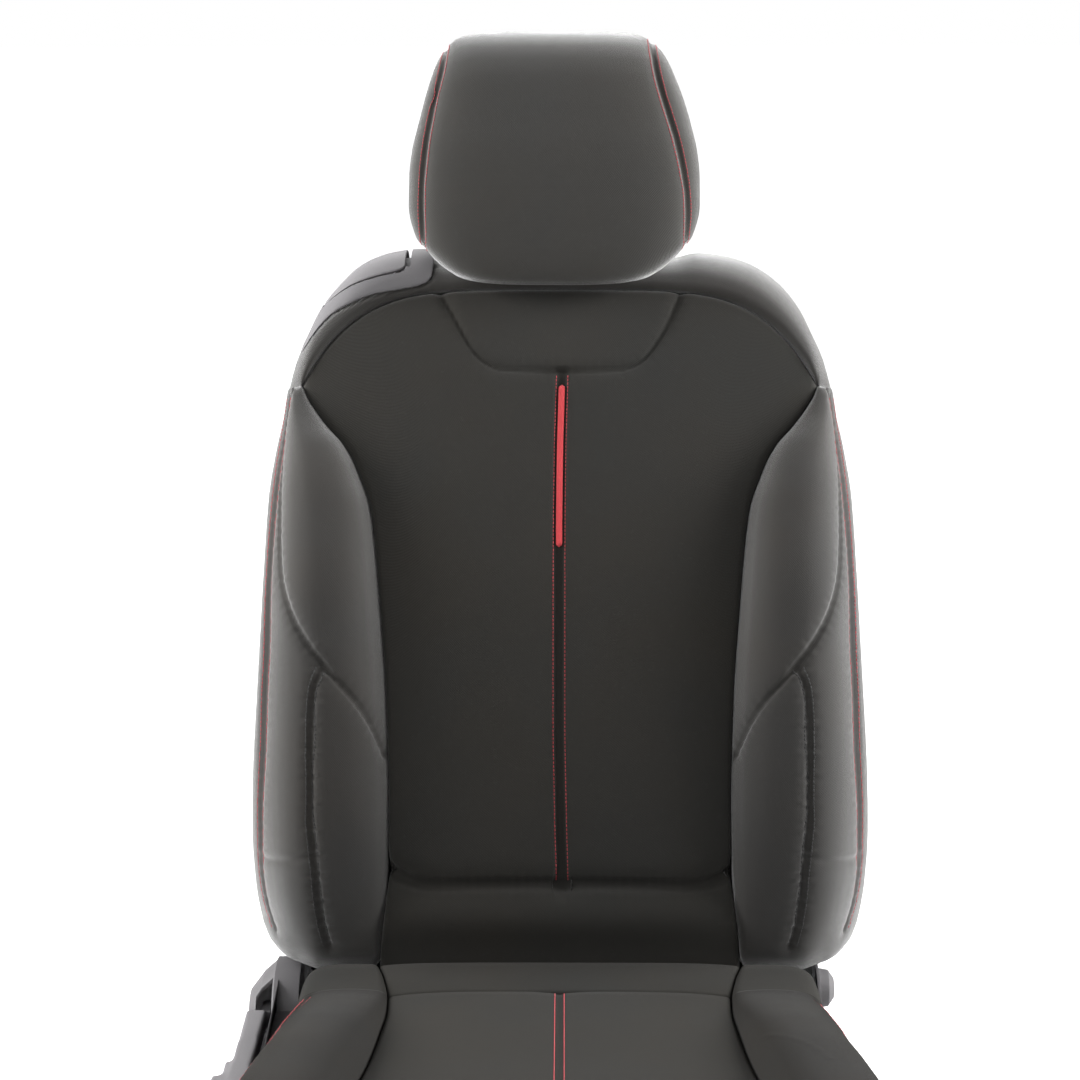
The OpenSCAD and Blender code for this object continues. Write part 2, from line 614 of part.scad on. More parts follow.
module seat_springs() {
  r = spring_wire_d / 2;
  dy = 170;
  tilt = atan2(178 + 5.4 - 198.2, dy);
  color([0.4, 0.4, 0.42]) for (x = [-135, -45, 45, 135])
    translate([x, -73, 198.2 + r]) rotate([tilt, 0, 0]) zigzag(9, 19.1, 34, r);
}

module valance_shape() {
  polygon([[-322, 226], [-330, 214], [-328, 168], [-310, 140], [-250, 121], [-60, 108], [130, 108],
    [190, 128], [pivot_y + 35, 160], [pivot_y, pivot_z], [120, 229], [60, 229]]);
  translate([pivot_y, pivot_z]) circle(r = dome_r, $fn = 96);
}

// inside of a valance, open towards the seat
module valance_hollow(x1, rear_y) {
  along_x(cover_x - 1, x1) union() {
    polygon([[rear_y + 4, 222], [rear_y - 3, 212], [rear_y - 1, 170], [rear_y + 16, 144],
      [min(-60, rear_y + 70), 125], [-60, 112], [128, 112], [186, 132], [200, 160], [180, pivot_z],
      [120, 225]]);
    translate([pivot_y, pivot_z]) circle(r = dome_r - 4, $fn = 96);
  }
}

// round cap over the recliner, from radius r0 at x0 to radius r1 at x1
module dome(x0, r0, x1, r1) {
  translate([x0, pivot_y, pivot_z]) rotate([0, 90, 0]) cylinder(h = x1 - x0, r1 = r0, r2 = r1, $fn = 96);
}

module outer_valance() {
  color([0.27, 0.26, 0.27]) on_side(-1) {
    difference() {
      union() {
        along_x(cover_x, 250) valance_shape();
        dome(249, dome_r - 0.8, 262, dome_r - 12);
        dome(261.9, dome_r - 12, 274, 26);
        along_x(249, 264) polygon([[-300, 206], [-300, 160], [-240, 136], [-60, 124], [112, 124], [112, 214],
          [60, 214]]);
      }
      valance_hollow(246.5, -322);
      dome(246.4, dome_r - 4, 262, dome_r - 14.5);
      dome(261.9, dome_r - 14.5, 271.5, 24);
      along_x(recline_x - 1.5, recline_x + 14) polygon([[pivot_y - dome_r - 3, pivot_z - 4],
        [pivot_y - 20, pivot_z - 4], [pivot_y - 20, pivot_z + 50], [pivot_y - dome_r - 3, pivot_z + 50]]);
      bar_x(cover_x, 280, pump_y, pump_z, 9.5);
    }
    for (y = [-290, -80, 90]) bar_x(web_out, 248, y, y < -200 ? 172 : 150, 7, 2.5);
  }
}

module inner_valance() {
  color([0.27, 0.26, 0.27]) {
    along_x(inner_x, inner_x + 2.6) union() {
      polygon([[20, 226], [10, 214], [14, 140], [40, 122], [130, 112], [190, 130], [205, 160],
        [pivot_y, pivot_z], [120, 226]]);
      translate([pivot_y, pivot_z]) circle(r = inner_dome_r, $fn = 96);
    }
    along_x(web_out + 13.6, inner_x + eps) polygon([[11, 202], [14, 140], [40, 122], [126, 112.5],
      [126, 115.5], [42, 125], [17, 141], [14, 202]]);
    translate([inner_x + 2.5, pivot_y - 4, pivot_z + 31]) rotate([0, 90, 0]) {
      cylinder(h = 8.5, r1 = 17.5, r2 = 16, $fn = 64);
      translate([0, 0, 8.49]) cylinder(h = 5, r1 = 16, r2 = 9, $fn = 64);
    }
    for (y = [60, 120]) bar_x(web_out, inner_x + 1, y, 150, 7, 2.5);
  }
}

module height_pump() {
  color([0.25, 0.25, 0.26]) on_side(-1) {
    bar_x(web_out, web_out + 14, pump_y, pump_z, 26);
    bar_x(web_x - 7, web_out + 1, pump_y, pump_z, 12);
    bar_x(web_out + 13, lever_x - 8, pump_y, pump_z, 8);
  }
}

module height_lever() {
  l = height_lever_len;
  color([0.33, 0.32, 0.33]) on_side(-1) translate([0, pump_y, pump_z]) difference() {
    union() {
      bar_x(266, 284, 0, 0, 20);
      along_x(270, 284) polygon([[4, 19], [-l * 0.45, 26], [-l * 0.8, 25], [-l, 16], [-l - 2, 6],
        [-l * 0.9, 0], [-l * 0.45, -6], [0, -19]]);
    }
    bar_x(260, lever_x - 8, 0, 0, 8 + run_gap);
  }
}

module recline_lever() {
  l = recline_lever_len;
  color([0.36, 0.35, 0.36]) on_side(-1) translate([0, pivot_y, pivot_z]) difference() {
    union() {
      bar_x(recline_x - 1, recline_x + 11, 0, 0, 15);
      along_x(recline_x, recline_x + 11) polygon([[2, 15], [-28, 18], [-50, 29], [-64, 36], [-l + 20, 41],
        [-l + 20, 23], [-66, 19], [-50, 12], [-28, 0], [-6, -14]]);
      along_x(recline_x, recline_x + 17) polygon([[-62, 35], [-66, 37], [-l + 9, 41], [-l, 33], [-l, 25],
        [-l + 4, 21], [-70, 19], [-62, 24]]);
      along_x(recline_x + 16, recline_x + 23) polygon([[-l + 80, 31], [-l + 74, 37], [-l + 9, 41], [-l, 33],
        [-l, 25], [-l + 4, 21], [-l + 74, 20], [-l + 80, 26]]);
      along_x(recline_x + 22.9, recline_x + 31) polygon([[-l + 52, 33], [-l + 46, 38], [-l + 9, 41], [-l, 33],
        [-l, 25], [-l + 4, 21], [-l + 46, 21], [-l + 52, 26]]);
    }
    bar_x(recline_x - 5, recline_x + 9, 0, 0, shaft_d / 2);
  }
}

// ---------- height adjuster ----------

module link_plate(low, up, r_up, hole_up) {
  along_x(link_x, link_x + link_t) difference() {
    union() {
      translate(low) circle(r = 14, $fn = 48);
      translate(up) circle(r = r_up, $fn = 64);
      translate(low) rotate([0, 0, atan2(up[1] - low[1], up[0] - low[0])])
        translate([0, -12]) square([link_len, 24]);
    }
    translate(low) circle(r = link_pin_d / 2 + run_gap, $fn = 48);
    translate(up) circle(r = hole_up, $fn = 48);
  }
}

module rear_link(side) {
  color([0.35, 0.35, 0.37]) on_side(side)
    link_plate([rear_low_y, low_z], rear_up, rear_tube_d / 2 + 7, rear_tube_d / 2);
}

module front_link(side) {
  color([0.35, 0.35, 0.37]) on_side(side)
    link_plate([front_low_y, low_z], front_up, front_tube_d / 2 + 7, front_tube_d / 2);
}

module cross_tube(at, d) {
  color([0.13, 0.13, 0.14]) {
    bar_x(-collar_out, collar_out, at[0], at[1], d / 2, d / 2 - tube_wall);
    for (s = [1, -1]) on_side(s) bar_x(web_out + 0.4, collar_out, at[0], at[1], d / 2 + 4, d / 2 - tube_wall);
  }
}

module link_pins() {
  r = link_pin_d / 2;
  color([0.6, 0.6, 0.62]) for (s = [1, -1]) on_side(s) for (y = [rear_low_y, front_low_y]) {
    bar_x(riser_x - 3, link_x + link_t + 1.6, y, low_z, r);
    bar_x(riser_x - 3, riser_x, y, low_z, r + 3);
    bar_x(link_x + link_t + 0.3, link_x + link_t + 1.9, y, low_z, r + 2);
  }
}

// ---------- slide rails ----------

module lower_rail(side) {
  y0 = rail_mid_y - rail_len / 2;
  w = rail_w / 2;
  slot = stem_w / 2 + 3;
  color([0.16, 0.16, 0.17]) on_side(side) difference() {
    along_y(y0, y0 + rail_len) translate([rail_x, rail_floor_z]) polygon([[-w, 0], [w, 0], [w, rail_h],
      [slot, rail_h], [slot, rail_h - rail_wall], [w - rail_wall, rail_h - rail_wall],
      [w - rail_wall, rail_wall], [-w + rail_wall, rail_wall], [-w + rail_wall, rail_h - rail_wall],
      [-slot, rail_h - rail_wall], [-slot, rail_h], [-w, rail_h]]);
    for (i = [0 : 24])
      translate([rail_x - w + 4.5, y0 + 60 + i * 18, rail_floor_z + rail_h - 4]) cube([6, 10, 8]);
  }
}

module rail_foot(side, rear) {
  y = rail_mid_y + (rear ? 1 : -1) * bolt_span_y / 2;
  color([0.16, 0.16, 0.17]) on_side(side) difference() {
    along_y(y - 18, y + 18) polygon([[foot_x - 17, 0], [foot_x + 15, 0], [foot_x + 22, rail_floor_z - foot_t],
      [rail_x + 18, rail_floor_z - foot_t], [rail_x + 18, rail_floor_z], [foot_x + 19.5, rail_floor_z],
      [foot_x + 13, foot_t], [foot_x - 17, foot_t]]);
    translate([foot_x, y, -1]) cylinder(h = foot_t + 2, r = bolt_hole_d / 2, $fn = 48);
  }
}

module rail_end_caps() {
  w = rail_w / 2;
  color([0.09, 0.09, 0.09]) for (s = [1, -1]) on_side(s) for (e = [0, 1])
    translate([rail_x, rail_mid_y + (e == 0 ? -rail_len / 2 - 3 : rail_len / 2), rail_floor_z])
      translate([-w, 0, -3]) cube([rail_w, 3, rail_h + 4]);
}

module riser(y) {
  along_x(riser_x, riser_x + riser_t) difference() {
    union() {
      polygon([[y - 30, 46], [y + 30, 46], [y + 14, low_z + 2], [y - 14, low_z + 2]]);
      translate([y, low_z]) circle(r = 15, $fn = 48);
    }
    translate([y, low_z]) circle(r = link_pin_d / 2, $fn = 48);
  }
}

module upper_rail(side) {
  y0 = rail_mid_y - carriage_len / 2;
  w = rail_w / 2 - rail_wall - 4;
  color([0.3, 0.3, 0.32]) on_side(side) {
    along_y(y0, y0 + carriage_len) translate([rail_x, rail_floor_z]) polygon([[-w, 9], [w, 9], [w, 12],
      [stem_w / 2, 12], [stem_w / 2, stem_top - rail_floor_z], [-stem_w / 2, stem_top - rail_floor_z],
      [-stem_w / 2, 12], [-w, 12]]);
    riser(rear_low_y);
    riser(front_low_y);
    along_x(riser_x + riser_t - eps, rail_x - stem_w / 2 + eps)
      for (y = [rear_low_y, front_low_y]) translate([y - 26, 47]) square([52, 11]);
    bar_x(riser_x + 1, rail_x, latch_y, latch_z + 4, 4);
  }
}

module slide_shoes() {
  w = rail_w / 2 - rail_wall;
  h = rail_h - 2 * rail_wall;
  color([0.85, 0.85, 0.8]) for (s = [1, -1]) on_side(s) for (e = [-1, 1])
    translate([rail_x, rail_mid_y + e * (carriage_len / 2 - 30) - 22, 0])
      along_y(0, 44) translate([0, rail_floor_z + rail_wall]) difference() {
        polygon([[-w + shoe_gap, shoe_gap], [w - shoe_gap, shoe_gap], [w - shoe_gap, h - shoe_gap],
          [stem_w / 2, h - shoe_gap], [-stem_w / 2, h - shoe_gap], [-w + shoe_gap, h - shoe_gap]]);
        translate([-w + 4, 9 - rail_wall]) square([2 * w - 8, 3]);
        translate([-stem_w / 2, 11 - rail_wall]) square([stem_w, 40]);
      }
}

module rail_latch(side) {
  x0 = riser_x - 5.5;
  color([0.5, 0.5, 0.51]) on_side(side) difference() {
    along_x(x0, x0 + 4) union() {
      translate([latch_y, latch_z + 4]) circle(r = 8, $fn = 48);
      polygon([[latch_y + 2, latch_z + 10], [-160, latch_z + 6], [-160, latch_z - 4],
        [latch_y, latch_z - 4]]);
      for (i = [0 : 2]) translate([-150 + i * 18, 42.4]) square([8, 3]);
    }
    bar_x(x0 - 1, x0 + 5, latch_y, latch_z + 4, 4 + run_gap);
  }
  color([0.5, 0.5, 0.51]) on_side(side) difference() {
    bar_x(x0 - 4, x0, latch_y, latch_z + 4, 8);
    bar_x(x0 - 5, x0 + 1, latch_y, latch_z + 4, 4 + run_gap);
  }
}

module release_bar() {
  x = riser_x - 9.5;
  z = latch_z + 1;
  color([0.12, 0.12, 0.12]) {
    bent_rod([[x, -110, z], [x, -250, z], [x, -318, z + 24], [x - 24, -334, z + 32],
      [-x + 24, -334, z + 32], [-x, -318, z + 24], [-x, -250, z], [-x, -110, z]], 4);
    bar_x(-70, 70, -334, z + 32, 8);
  }
}

// ---------- nodes ----------

placed() lower_rail(-1);  // lower_rail_left
placed() lower_rail(1);  // lower_rail_right
placed() rail_foot(-1, false);  // rail_foot_front_left
placed() rail_foot(1, false);  // rail_foot_front_right
placed() rail_foot(-1, true);  // rail_foot_rear_left
placed() rail_foot(1, true);  // rail_foot_rear_right
placed() rail_end_caps();
placed() upper_rail(-1);  // upper_rail_left
placed() upper_rail(1);  // upper_rail_right
placed() slide_shoes();
placed() link_pins();
placed() release_bar();
placed() rail_latch(-1);  // rail_latch_left
placed() rail_latch(1);  // rail_latch_right
placed() rear_link(-1);  // rear_link_left
placed() rear_link(1);  // rear_link_right
placed() cross_tube(rear_up, rear_tube_d);  // rear_cross_tube
placed() front_link(-1);  // front_link_left
placed() front_link(1);  // front_link_right
placed() cross_tube(front_up, front_tube_d);  // front_cross_tube
placed() seat_side(-1);  // seat_side_left
placed() seat_side(1);  // seat_side_right
placed() seat_pan();
placed() spring_rod();
placed() seat_springs();
placed() cushion_centre();
placed() cushion_bolster(-1);  // cushion_bolster_left
placed() cushion_bolster(1);  // cushion_bolster_right
placed() cushion_tail();
placed() outer_valance();
placed() inner_valance();
placed() recliner_fixed(-1);  // recliner_fixed_left
placed() recliner_fixed(1);  // recliner_fixed_right
placed() height_pump();
placed() height_lever();
placed() recline_lever();
placed() recliner_shaft();
placed() back_side(-1);  // back_side_left
placed() back_side(1);  // back_side_right
placed() back_top_tube();
placed() back_lower_tube();
placed() back_mat();
placed() headrest_sleeve(-1);  // headrest_sleeve_left
placed() headrest_sleeve(1);  // headrest_sleeve_right
placed() back_panel();
placed() backrest_centre();
placed() backrest_bolster(-1);  // backrest_bolster_left
placed() backrest_bolster(1);  // backrest_bolster_right
placed() backrest_top();
placed() recliner_moving(-1);  // recliner_moving_left
placed() recliner_moving(1);  // recliner_moving_right
placed() shoulder_bezel();
placed() centre_tab();
placed() release_cable();
placed() shoulder_lever();
placed() headrest_posts();
placed() headrest_pad();
placed() headrest_button();
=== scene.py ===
"""Cloth-covered sport front seat of a passenger car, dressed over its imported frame."""

from __future__ import annotations

import json
import logging
import math
from collections.abc import Callable
from dataclasses import dataclass, field
from enum import Enum
from functools import cache

import bmesh
import bpy
import numpy as np
from mathutils import Matrix, Vector
from mathutils.bvhtree import BVHTree


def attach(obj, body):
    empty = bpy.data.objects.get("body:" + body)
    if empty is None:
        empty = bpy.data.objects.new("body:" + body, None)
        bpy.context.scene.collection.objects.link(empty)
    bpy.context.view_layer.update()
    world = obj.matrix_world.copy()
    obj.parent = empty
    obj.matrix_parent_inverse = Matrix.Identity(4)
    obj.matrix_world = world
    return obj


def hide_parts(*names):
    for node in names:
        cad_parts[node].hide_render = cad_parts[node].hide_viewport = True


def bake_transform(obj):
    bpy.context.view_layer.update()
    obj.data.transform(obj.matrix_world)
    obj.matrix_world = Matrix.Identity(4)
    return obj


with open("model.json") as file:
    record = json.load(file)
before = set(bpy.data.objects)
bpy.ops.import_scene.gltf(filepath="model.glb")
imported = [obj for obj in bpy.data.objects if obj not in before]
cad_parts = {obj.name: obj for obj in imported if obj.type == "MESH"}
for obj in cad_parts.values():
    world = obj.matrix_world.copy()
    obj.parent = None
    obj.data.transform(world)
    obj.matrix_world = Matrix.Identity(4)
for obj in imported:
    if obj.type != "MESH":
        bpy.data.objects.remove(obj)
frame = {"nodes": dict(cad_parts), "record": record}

LOG = logging.getLogger("seat")
MM = 0.001
COVER_FILL = 0.95
HEADREST_FILL = 0.9
BEFORE_BACK = 400.0
ABOVE_SEAT = 600.0
PRESS_BATCH = 6000
GATHERS = ((8.5, 1.0, 0.0), (13.7, 0.6, 1.3))
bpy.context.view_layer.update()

Knots = tuple[tuple[float, float], ...]
Rows = list[tuple[np.ndarray, float]]


class Side(Enum):
    """The two sides of the seat, by the sign of x."""

    LEFT = -1
    RIGHT = 1

    @property
    def word(self) -> str:
        """Returns the side's name for the names of pieces."""
        return self.name.lower()


# ---------------------------------------------------------------- shape tools


@dataclass(frozen=True)
class Curve:
    """A smooth line through knots that never overshoots between them."""

    knots: Knots

    def __call__(self, at: np.ndarray | float) -> np.ndarray:
        """Reads the line.

        Args:
            at: where to read it, clamped to the first and last knot.

        Returns:
            The values there.
        """
        x, y = np.array(self.knots, dtype=float).T
        step = np.diff(x)
        slope = np.diff(y) / step
        tangent = np.zeros_like(y)
        tangent[0], tangent[-1] = slope[0], slope[-1]
        left, right = slope[:-1], slope[1:]
        same = left * right > 0
        w1, w2 = 2 * step[1:] + step[:-1], step[1:] + 2 * step[:-1]
        safe_left, safe_right = np.where(same, left, 1.0), np.where(same, right, 1.0)
        tangent[1:-1] = np.where(same, (w1 + w2) / (w1 / safe_left + w2 / safe_right), 0.0)
        t = np.clip(np.asarray(at, dtype=float), x[0], x[-1])
        i = np.clip(np.searchsorted(x, t, side="right") - 1, 0, len(step) - 1)
        u, h = (t - x[i]) / step[i], step[i]
        return (
            (1 + 2 * u) * (1 - u) ** 2 * y[i]
            + u * (1 - u) ** 2 * h * tangent[i]
            + u * u * (3 - 2 * u) * y[i + 1]
            + u * u * (u - 1) * h * tangent[i + 1]
        )


@dataclass(frozen=True)
class BackAxes:
    """Axes of the backrest: x across, f forward of the recliner, s up along it, all in mm."""

    pivot_y: float = 210.0
    pivot_z: float = 200.0
    lean: float = math.radians(20.0)

    def place(self, x: np.ndarray, f: np.ndarray, s: np.ndarray) -> np.ndarray:
        """Moves backrest points to the shared frame.

        Args:
            x: across the seat.
            f: forward of the recliner.
            s: height along the backrest.

        Returns:
            The points in metres, one row of three numbers each.
        """
        x, f, s = np.broadcast_arrays(x, f, s)
        y = self.pivot_y + s * math.sin(self.lean) - f * math.cos(self.lean)
        z = self.pivot_z + s * math.cos(self.lean) + f * math.sin(self.lean)
        return np.stack([x, y, z], axis=-1) * MM

    def forward(self) -> np.ndarray:
        """Returns the unit vector that points forward from the backrest."""
        return np.array([0.0, -math.cos(self.lean), math.sin(self.lean)])

    def along(self) -> np.ndarray:
        """Returns the unit vector that runs up along the backrest."""
        return np.array([0.0, math.sin(self.lean), math.cos(self.lean)])


BACK = BackAxes()


def stations(low: float, high: float, step: float, fine_low: bool = True, fine_high: bool = True) -> np.ndarray:
    """Spreads stations over a length, closer together towards its sewn ends.

    Args:
        low: the first station.
        high: the last station.
        step: the spacing in the middle.
        fine_low: crowd the stations at the low end.
        fine_high: crowd the stations at the high end.

    Returns:
        The stations in rising order.
    """
    edge = np.array([0.0, 0.5, 1.1, 1.9, 2.9, 4.1, 5.6, 7.5])
    head = low + edge if fine_low else np.array([low])
    tail = high - edge[::-1] if fine_high else np.array([high])
    count = max(2, int(round((tail[0] - head[-1]) / step)) + 1)
    return np.concatenate([head[:-1], np.linspace(head[-1], tail[0], count), tail[1:]])


def respaced(x: np.ndarray, count: int) -> np.ndarray:
    """Returns as many stations as asked for, spread as the given ones are."""
    return np.interp(np.linspace(0, 1, count), np.linspace(0, 1, len(x)), x)


def sewn_edge(distance: np.ndarray, radius: float = 4.2, soft: float = 1.5, reach: float = 15.0) -> np.ndarray:
    """Says how far a cover drops towards a sewn edge.

    Args:
        distance: distance from the edge in mm.
        radius: the tight turn into the seam.
        soft: extra depth of the wide pillowed part.
        reach: how far the pillowed part spreads.

    Returns:
        The drop in mm, zero far from the edge.
    """
    near = np.clip(radius - distance, 0.0, radius)
    return radius - np.sqrt(np.maximum(radius**2 - near**2, 0.0)) + soft * np.exp(-distance / reach)


def run_along(line: np.ndarray) -> np.ndarray:
    """Returns how far along a line each of its points lies."""
    return np.concatenate([[0.0], np.cumsum(np.linalg.norm(np.diff(line, axis=0), axis=1))])


def unit(vectors: np.ndarray) -> np.ndarray:
    """Returns vectors brought to length one along their last axis."""
    return vectors / np.maximum(np.linalg.norm(vectors, axis=-1, keepdims=True), 1e-12)


def arc_resample(points: np.ndarray, count: int) -> np.ndarray:
    """Spreads points evenly by length along a line.

    Args:
        points: the line, one row per point.
        count: how many points to return.

    Returns:
        The new points.
    """
    length = run_along(points)
    at = np.linspace(0.0, length[-1], count)
    return np.stack([np.interp(at, length, points[:, k]) for k in range(points.shape[1])], axis=1)


def evened(points: np.ndarray, reach: int) -> np.ndarray:
    """Evens out a line by averaging each point with its neighbours.

    Args:
        points: the line, one row per point.
        reach: how many points on either side count.

    Returns:
        The evened line, as long as before.
    """
    padded = np.pad(points, ((reach, reach), (0, 0)), mode="edge")
    share = np.ones(2 * reach + 1) / (2 * reach + 1)
    return np.stack([np.convolve(padded[:, k], share, mode="valid") for k in range(points.shape[1])], axis=1)


def rounded_line(points: np.ndarray, count: int, passes: int = 3) -> np.ndarray:
    """Rounds a cornered line by cutting its corners, and spreads points along it.

    Args:
        points: the cornered line.
        count: how many points to return.
        passes: how many times its corners are cut.

    Returns:
        The rounded line with its ends kept.
    """
    line = points
    for _ in range(passes):
        near = 0.75 * line[:-1] + 0.25 * line[1:]
        far = 0.25 * line[:-1] + 0.75 * line[1:]
        line = np.concatenate([line[:1], np.stack([near, far], axis=1).reshape(-1, line.shape[1]), line[-1:]])
    return arc_resample(line, count)


def surface_mesh(name: str, verts: np.ndarray, faces: list[tuple[int, ...]]) -> bpy.types.Object:
    """Makes an object of a mesh whose faces point outwards.

    Args:
        name: the object's name.
        verts: the points in metres.
        faces: the point numbers of each face.

    Returns:
        The new object, linked to the scene.
    """
    mesh = bpy.data.meshes.new(name)
    mesh.from_pydata(verts.tolist(), [], faces)
    work = bmesh.new()
    work.from_mesh(mesh)
    if work.calc_volume(signed=True) < 0:
        bmesh.ops.reverse_faces(work, faces=work.faces)
    work.to_mesh(mesh)
    work.free()
    mesh.polygons.foreach_set("use_smooth", [True] * len(mesh.polygons))
    mesh.update()
    obj = bpy.data.objects.new(name, mesh)
    bpy.context.scene.collection.objects.link(obj)
    return obj


class Cloth:
    """A covered foam form, kept as rings of points until its seams are pressed in."""

    def __init__(self, name: str, rings: np.ndarray) -> None:
        """Takes the form's rings.

        Args:
            name: the name of the piece.
            rings: closed rings of points in metres, shaped rows by points by three.
        """
        self.name = name
        self.rings = rings

    def normals(self) -> np.ndarray:
        """Returns the outward direction at each point."""
        around = np.roll(self.rings, -1, axis=1) - np.roll(self.rings, 1, axis=1)
        along = np.gradient(self.rings, axis=0)
        normal = unit(np.cross(around, along))
        outward = np.sum(normal * (self.rings - self.rings.mean(axis=(0, 1))))
        return normal if outward > 0 else -normal

    def faces(self) -> list[tuple[int, ...]]:
        """Returns the quads between the rings and one cap at each end."""
        rows, count = self.rings.shape[:2]
        a = np.arange(rows - 1)[:, None] * count + np.arange(count)[None, :]
        b = np.arange(rows - 1)[:, None] * count + (np.arange(count)[None, :] + 1) % count
        quads = np.stack([a, b, b + count, a + count], axis=-1).reshape(-1, 4)
        caps = [tuple(range(count - 1, -1, -1)), tuple(range((rows - 1) * count, rows * count))]
        return [tuple(q) for q in quads.tolist()] + caps

    def tree(self) -> BVHTree:
        """Returns a search tree of the form as it is now."""
        return BVHTree.FromPolygons([Vector(p) for p in self.rings.reshape(-1, 3)], self.faces())

    def press(self, path: np.ndarray, depth: float, width: float, pucker: float = 0.0) -> None:
        """Sinks the cover along a line.

        Args:
            path: points of the line in metres, close together.
            depth: how deep the line lies, in mm.
            width: how wide the groove is, in mm.
            pucker: height of the small gathers beside the line, in mm.
        """
        flat = self.rings.reshape(-1, 3)
        normal = self.normals().reshape(-1, 3)
        reach = (3.2 * width + (14.0 if pucker else 0.0)) * MM
        low, high = path.min(axis=0) - reach, path.max(axis=0) + reach
        near = np.nonzero(np.all((flat > low) & (flat < high), axis=1))[0]
        travelled = run_along(path) / MM
        for start in range(0, len(near), PRESS_BATCH):
            rows = near[start : start + PRESS_BATCH]
            gap = np.linalg.norm(flat[rows][:, None, :] - path[None, :, :], axis=2)
            best = gap.argmin(axis=1)
            distance = gap[np.arange(len(rows)), best] / MM
            drop = depth * np.exp(-((distance / width) ** 2))
            if pucker:
                run = travelled[best]
                wave = sum(size * np.sin(run * 2 * math.pi / pitch + start_at) for pitch, size, start_at in GATHERS)
                drop += pucker * wave * np.exp(-(((distance - 5.0) / 4.5) ** 2))
            flat[rows] -= normal[rows] * drop[:, None] * MM
        self.rings = flat.reshape(self.rings.shape)

    def seam(self, path: np.ndarray, *grooves: tuple[float, ...]) -> None:
        """Presses grooves along one line, each given as its depth, width and pucker."""
        for groove in grooves:
            self.press(path, *groove)

    def make(self) -> bpy.types.Object:
        """Builds the object with a UV map that follows the cloth, in metres.

        Returns:
            The object, without a material yet.
        """
        obj = surface_mesh(self.name, self.rings.reshape(-1, 3), self.faces())
        rows, count = self.rings.shape[:2]
        around = np.linalg.norm(np.roll(self.rings, -1, axis=1) - self.rings, axis=2).mean(axis=0)
        u = np.concatenate([[0.0], np.cumsum(around)[:-1]])
        along = np.linalg.norm(np.diff(self.rings, axis=0), axis=2).mean(axis=1)
        v = np.concatenate([[0.0], np.cumsum(along)])
        grid = np.stack(np.broadcast_arrays(u[None, :], v[:, None]), axis=-1).reshape(-1, 2)
        layer = obj.data.uv_layers.new(name="cloth")
        index = np.empty(len(obj.data.loops), dtype=np.int64)
        obj.data.loops.foreach_get("vertex_index", index)
        layer.data.foreach_set("uv", grid[index].ravel())
        return obj


def thrown_line(tree: BVHTree, points: np.ndarray, direction: np.ndarray, spacing: float = 1.2) -> np.ndarray:
    """Throws a line onto a form.

    Args:
        tree: the form to hit.
        points: start points in metres, well outside the form.
        direction: the direction of the throw.
        spacing: distance between the points of the result, in mm.

    Returns:
        The points on the form that were hit, evenly spread.
    """
    dense = rounded_line(points, max(8, int(run_along(points)[-1] / MM / spacing)))
    hits = (tree.ray_cast(Vector(point), Vector(direction))[0] for point in dense)
    return np.array([place[:] for place in hits if place is not None])


def back_line(tree: BVHTree, knots: Knots, spacing: float = 1.2) -> np.ndarray:
    """Throws a line, given as x and height s on the backrest, onto a form from the front.

    Args:
        tree: the form.
        knots: x and s of the line's points in mm.
        spacing: distance between the points of the result, in mm.

    Returns:
        The line on the form.
    """
    table = np.array(knots, dtype=float)
    return thrown_line(tree, BACK.place(table[:, 0], BEFORE_BACK, table[:, 1]), -BACK.forward(), spacing)


def seat_line(tree: BVHTree, knots: Knots, spacing: float = 1.2) -> np.ndarray:
    """Throws a line, given as x and y on the cushion, onto a form from above.

    Args:
        tree: the form.
        knots: x and y of the line's points in mm.
        spacing: distance between the points of the result, in mm.

    Returns:
        The line on the form.
    """
    table = np.array(knots, dtype=float)
    start = np.column_stack([table, np.full(len(table), ABOVE_SEAT)]) * MM
    return thrown_line(tree, start, np.array([0.0, 0.0, -1.0]), spacing)


def twin(line: np.ndarray, aside: float) -> Rows:
    """Returns the rows of a twin seam, as far in mm on either side of a line."""
    return [(line, -aside), (line, aside)]


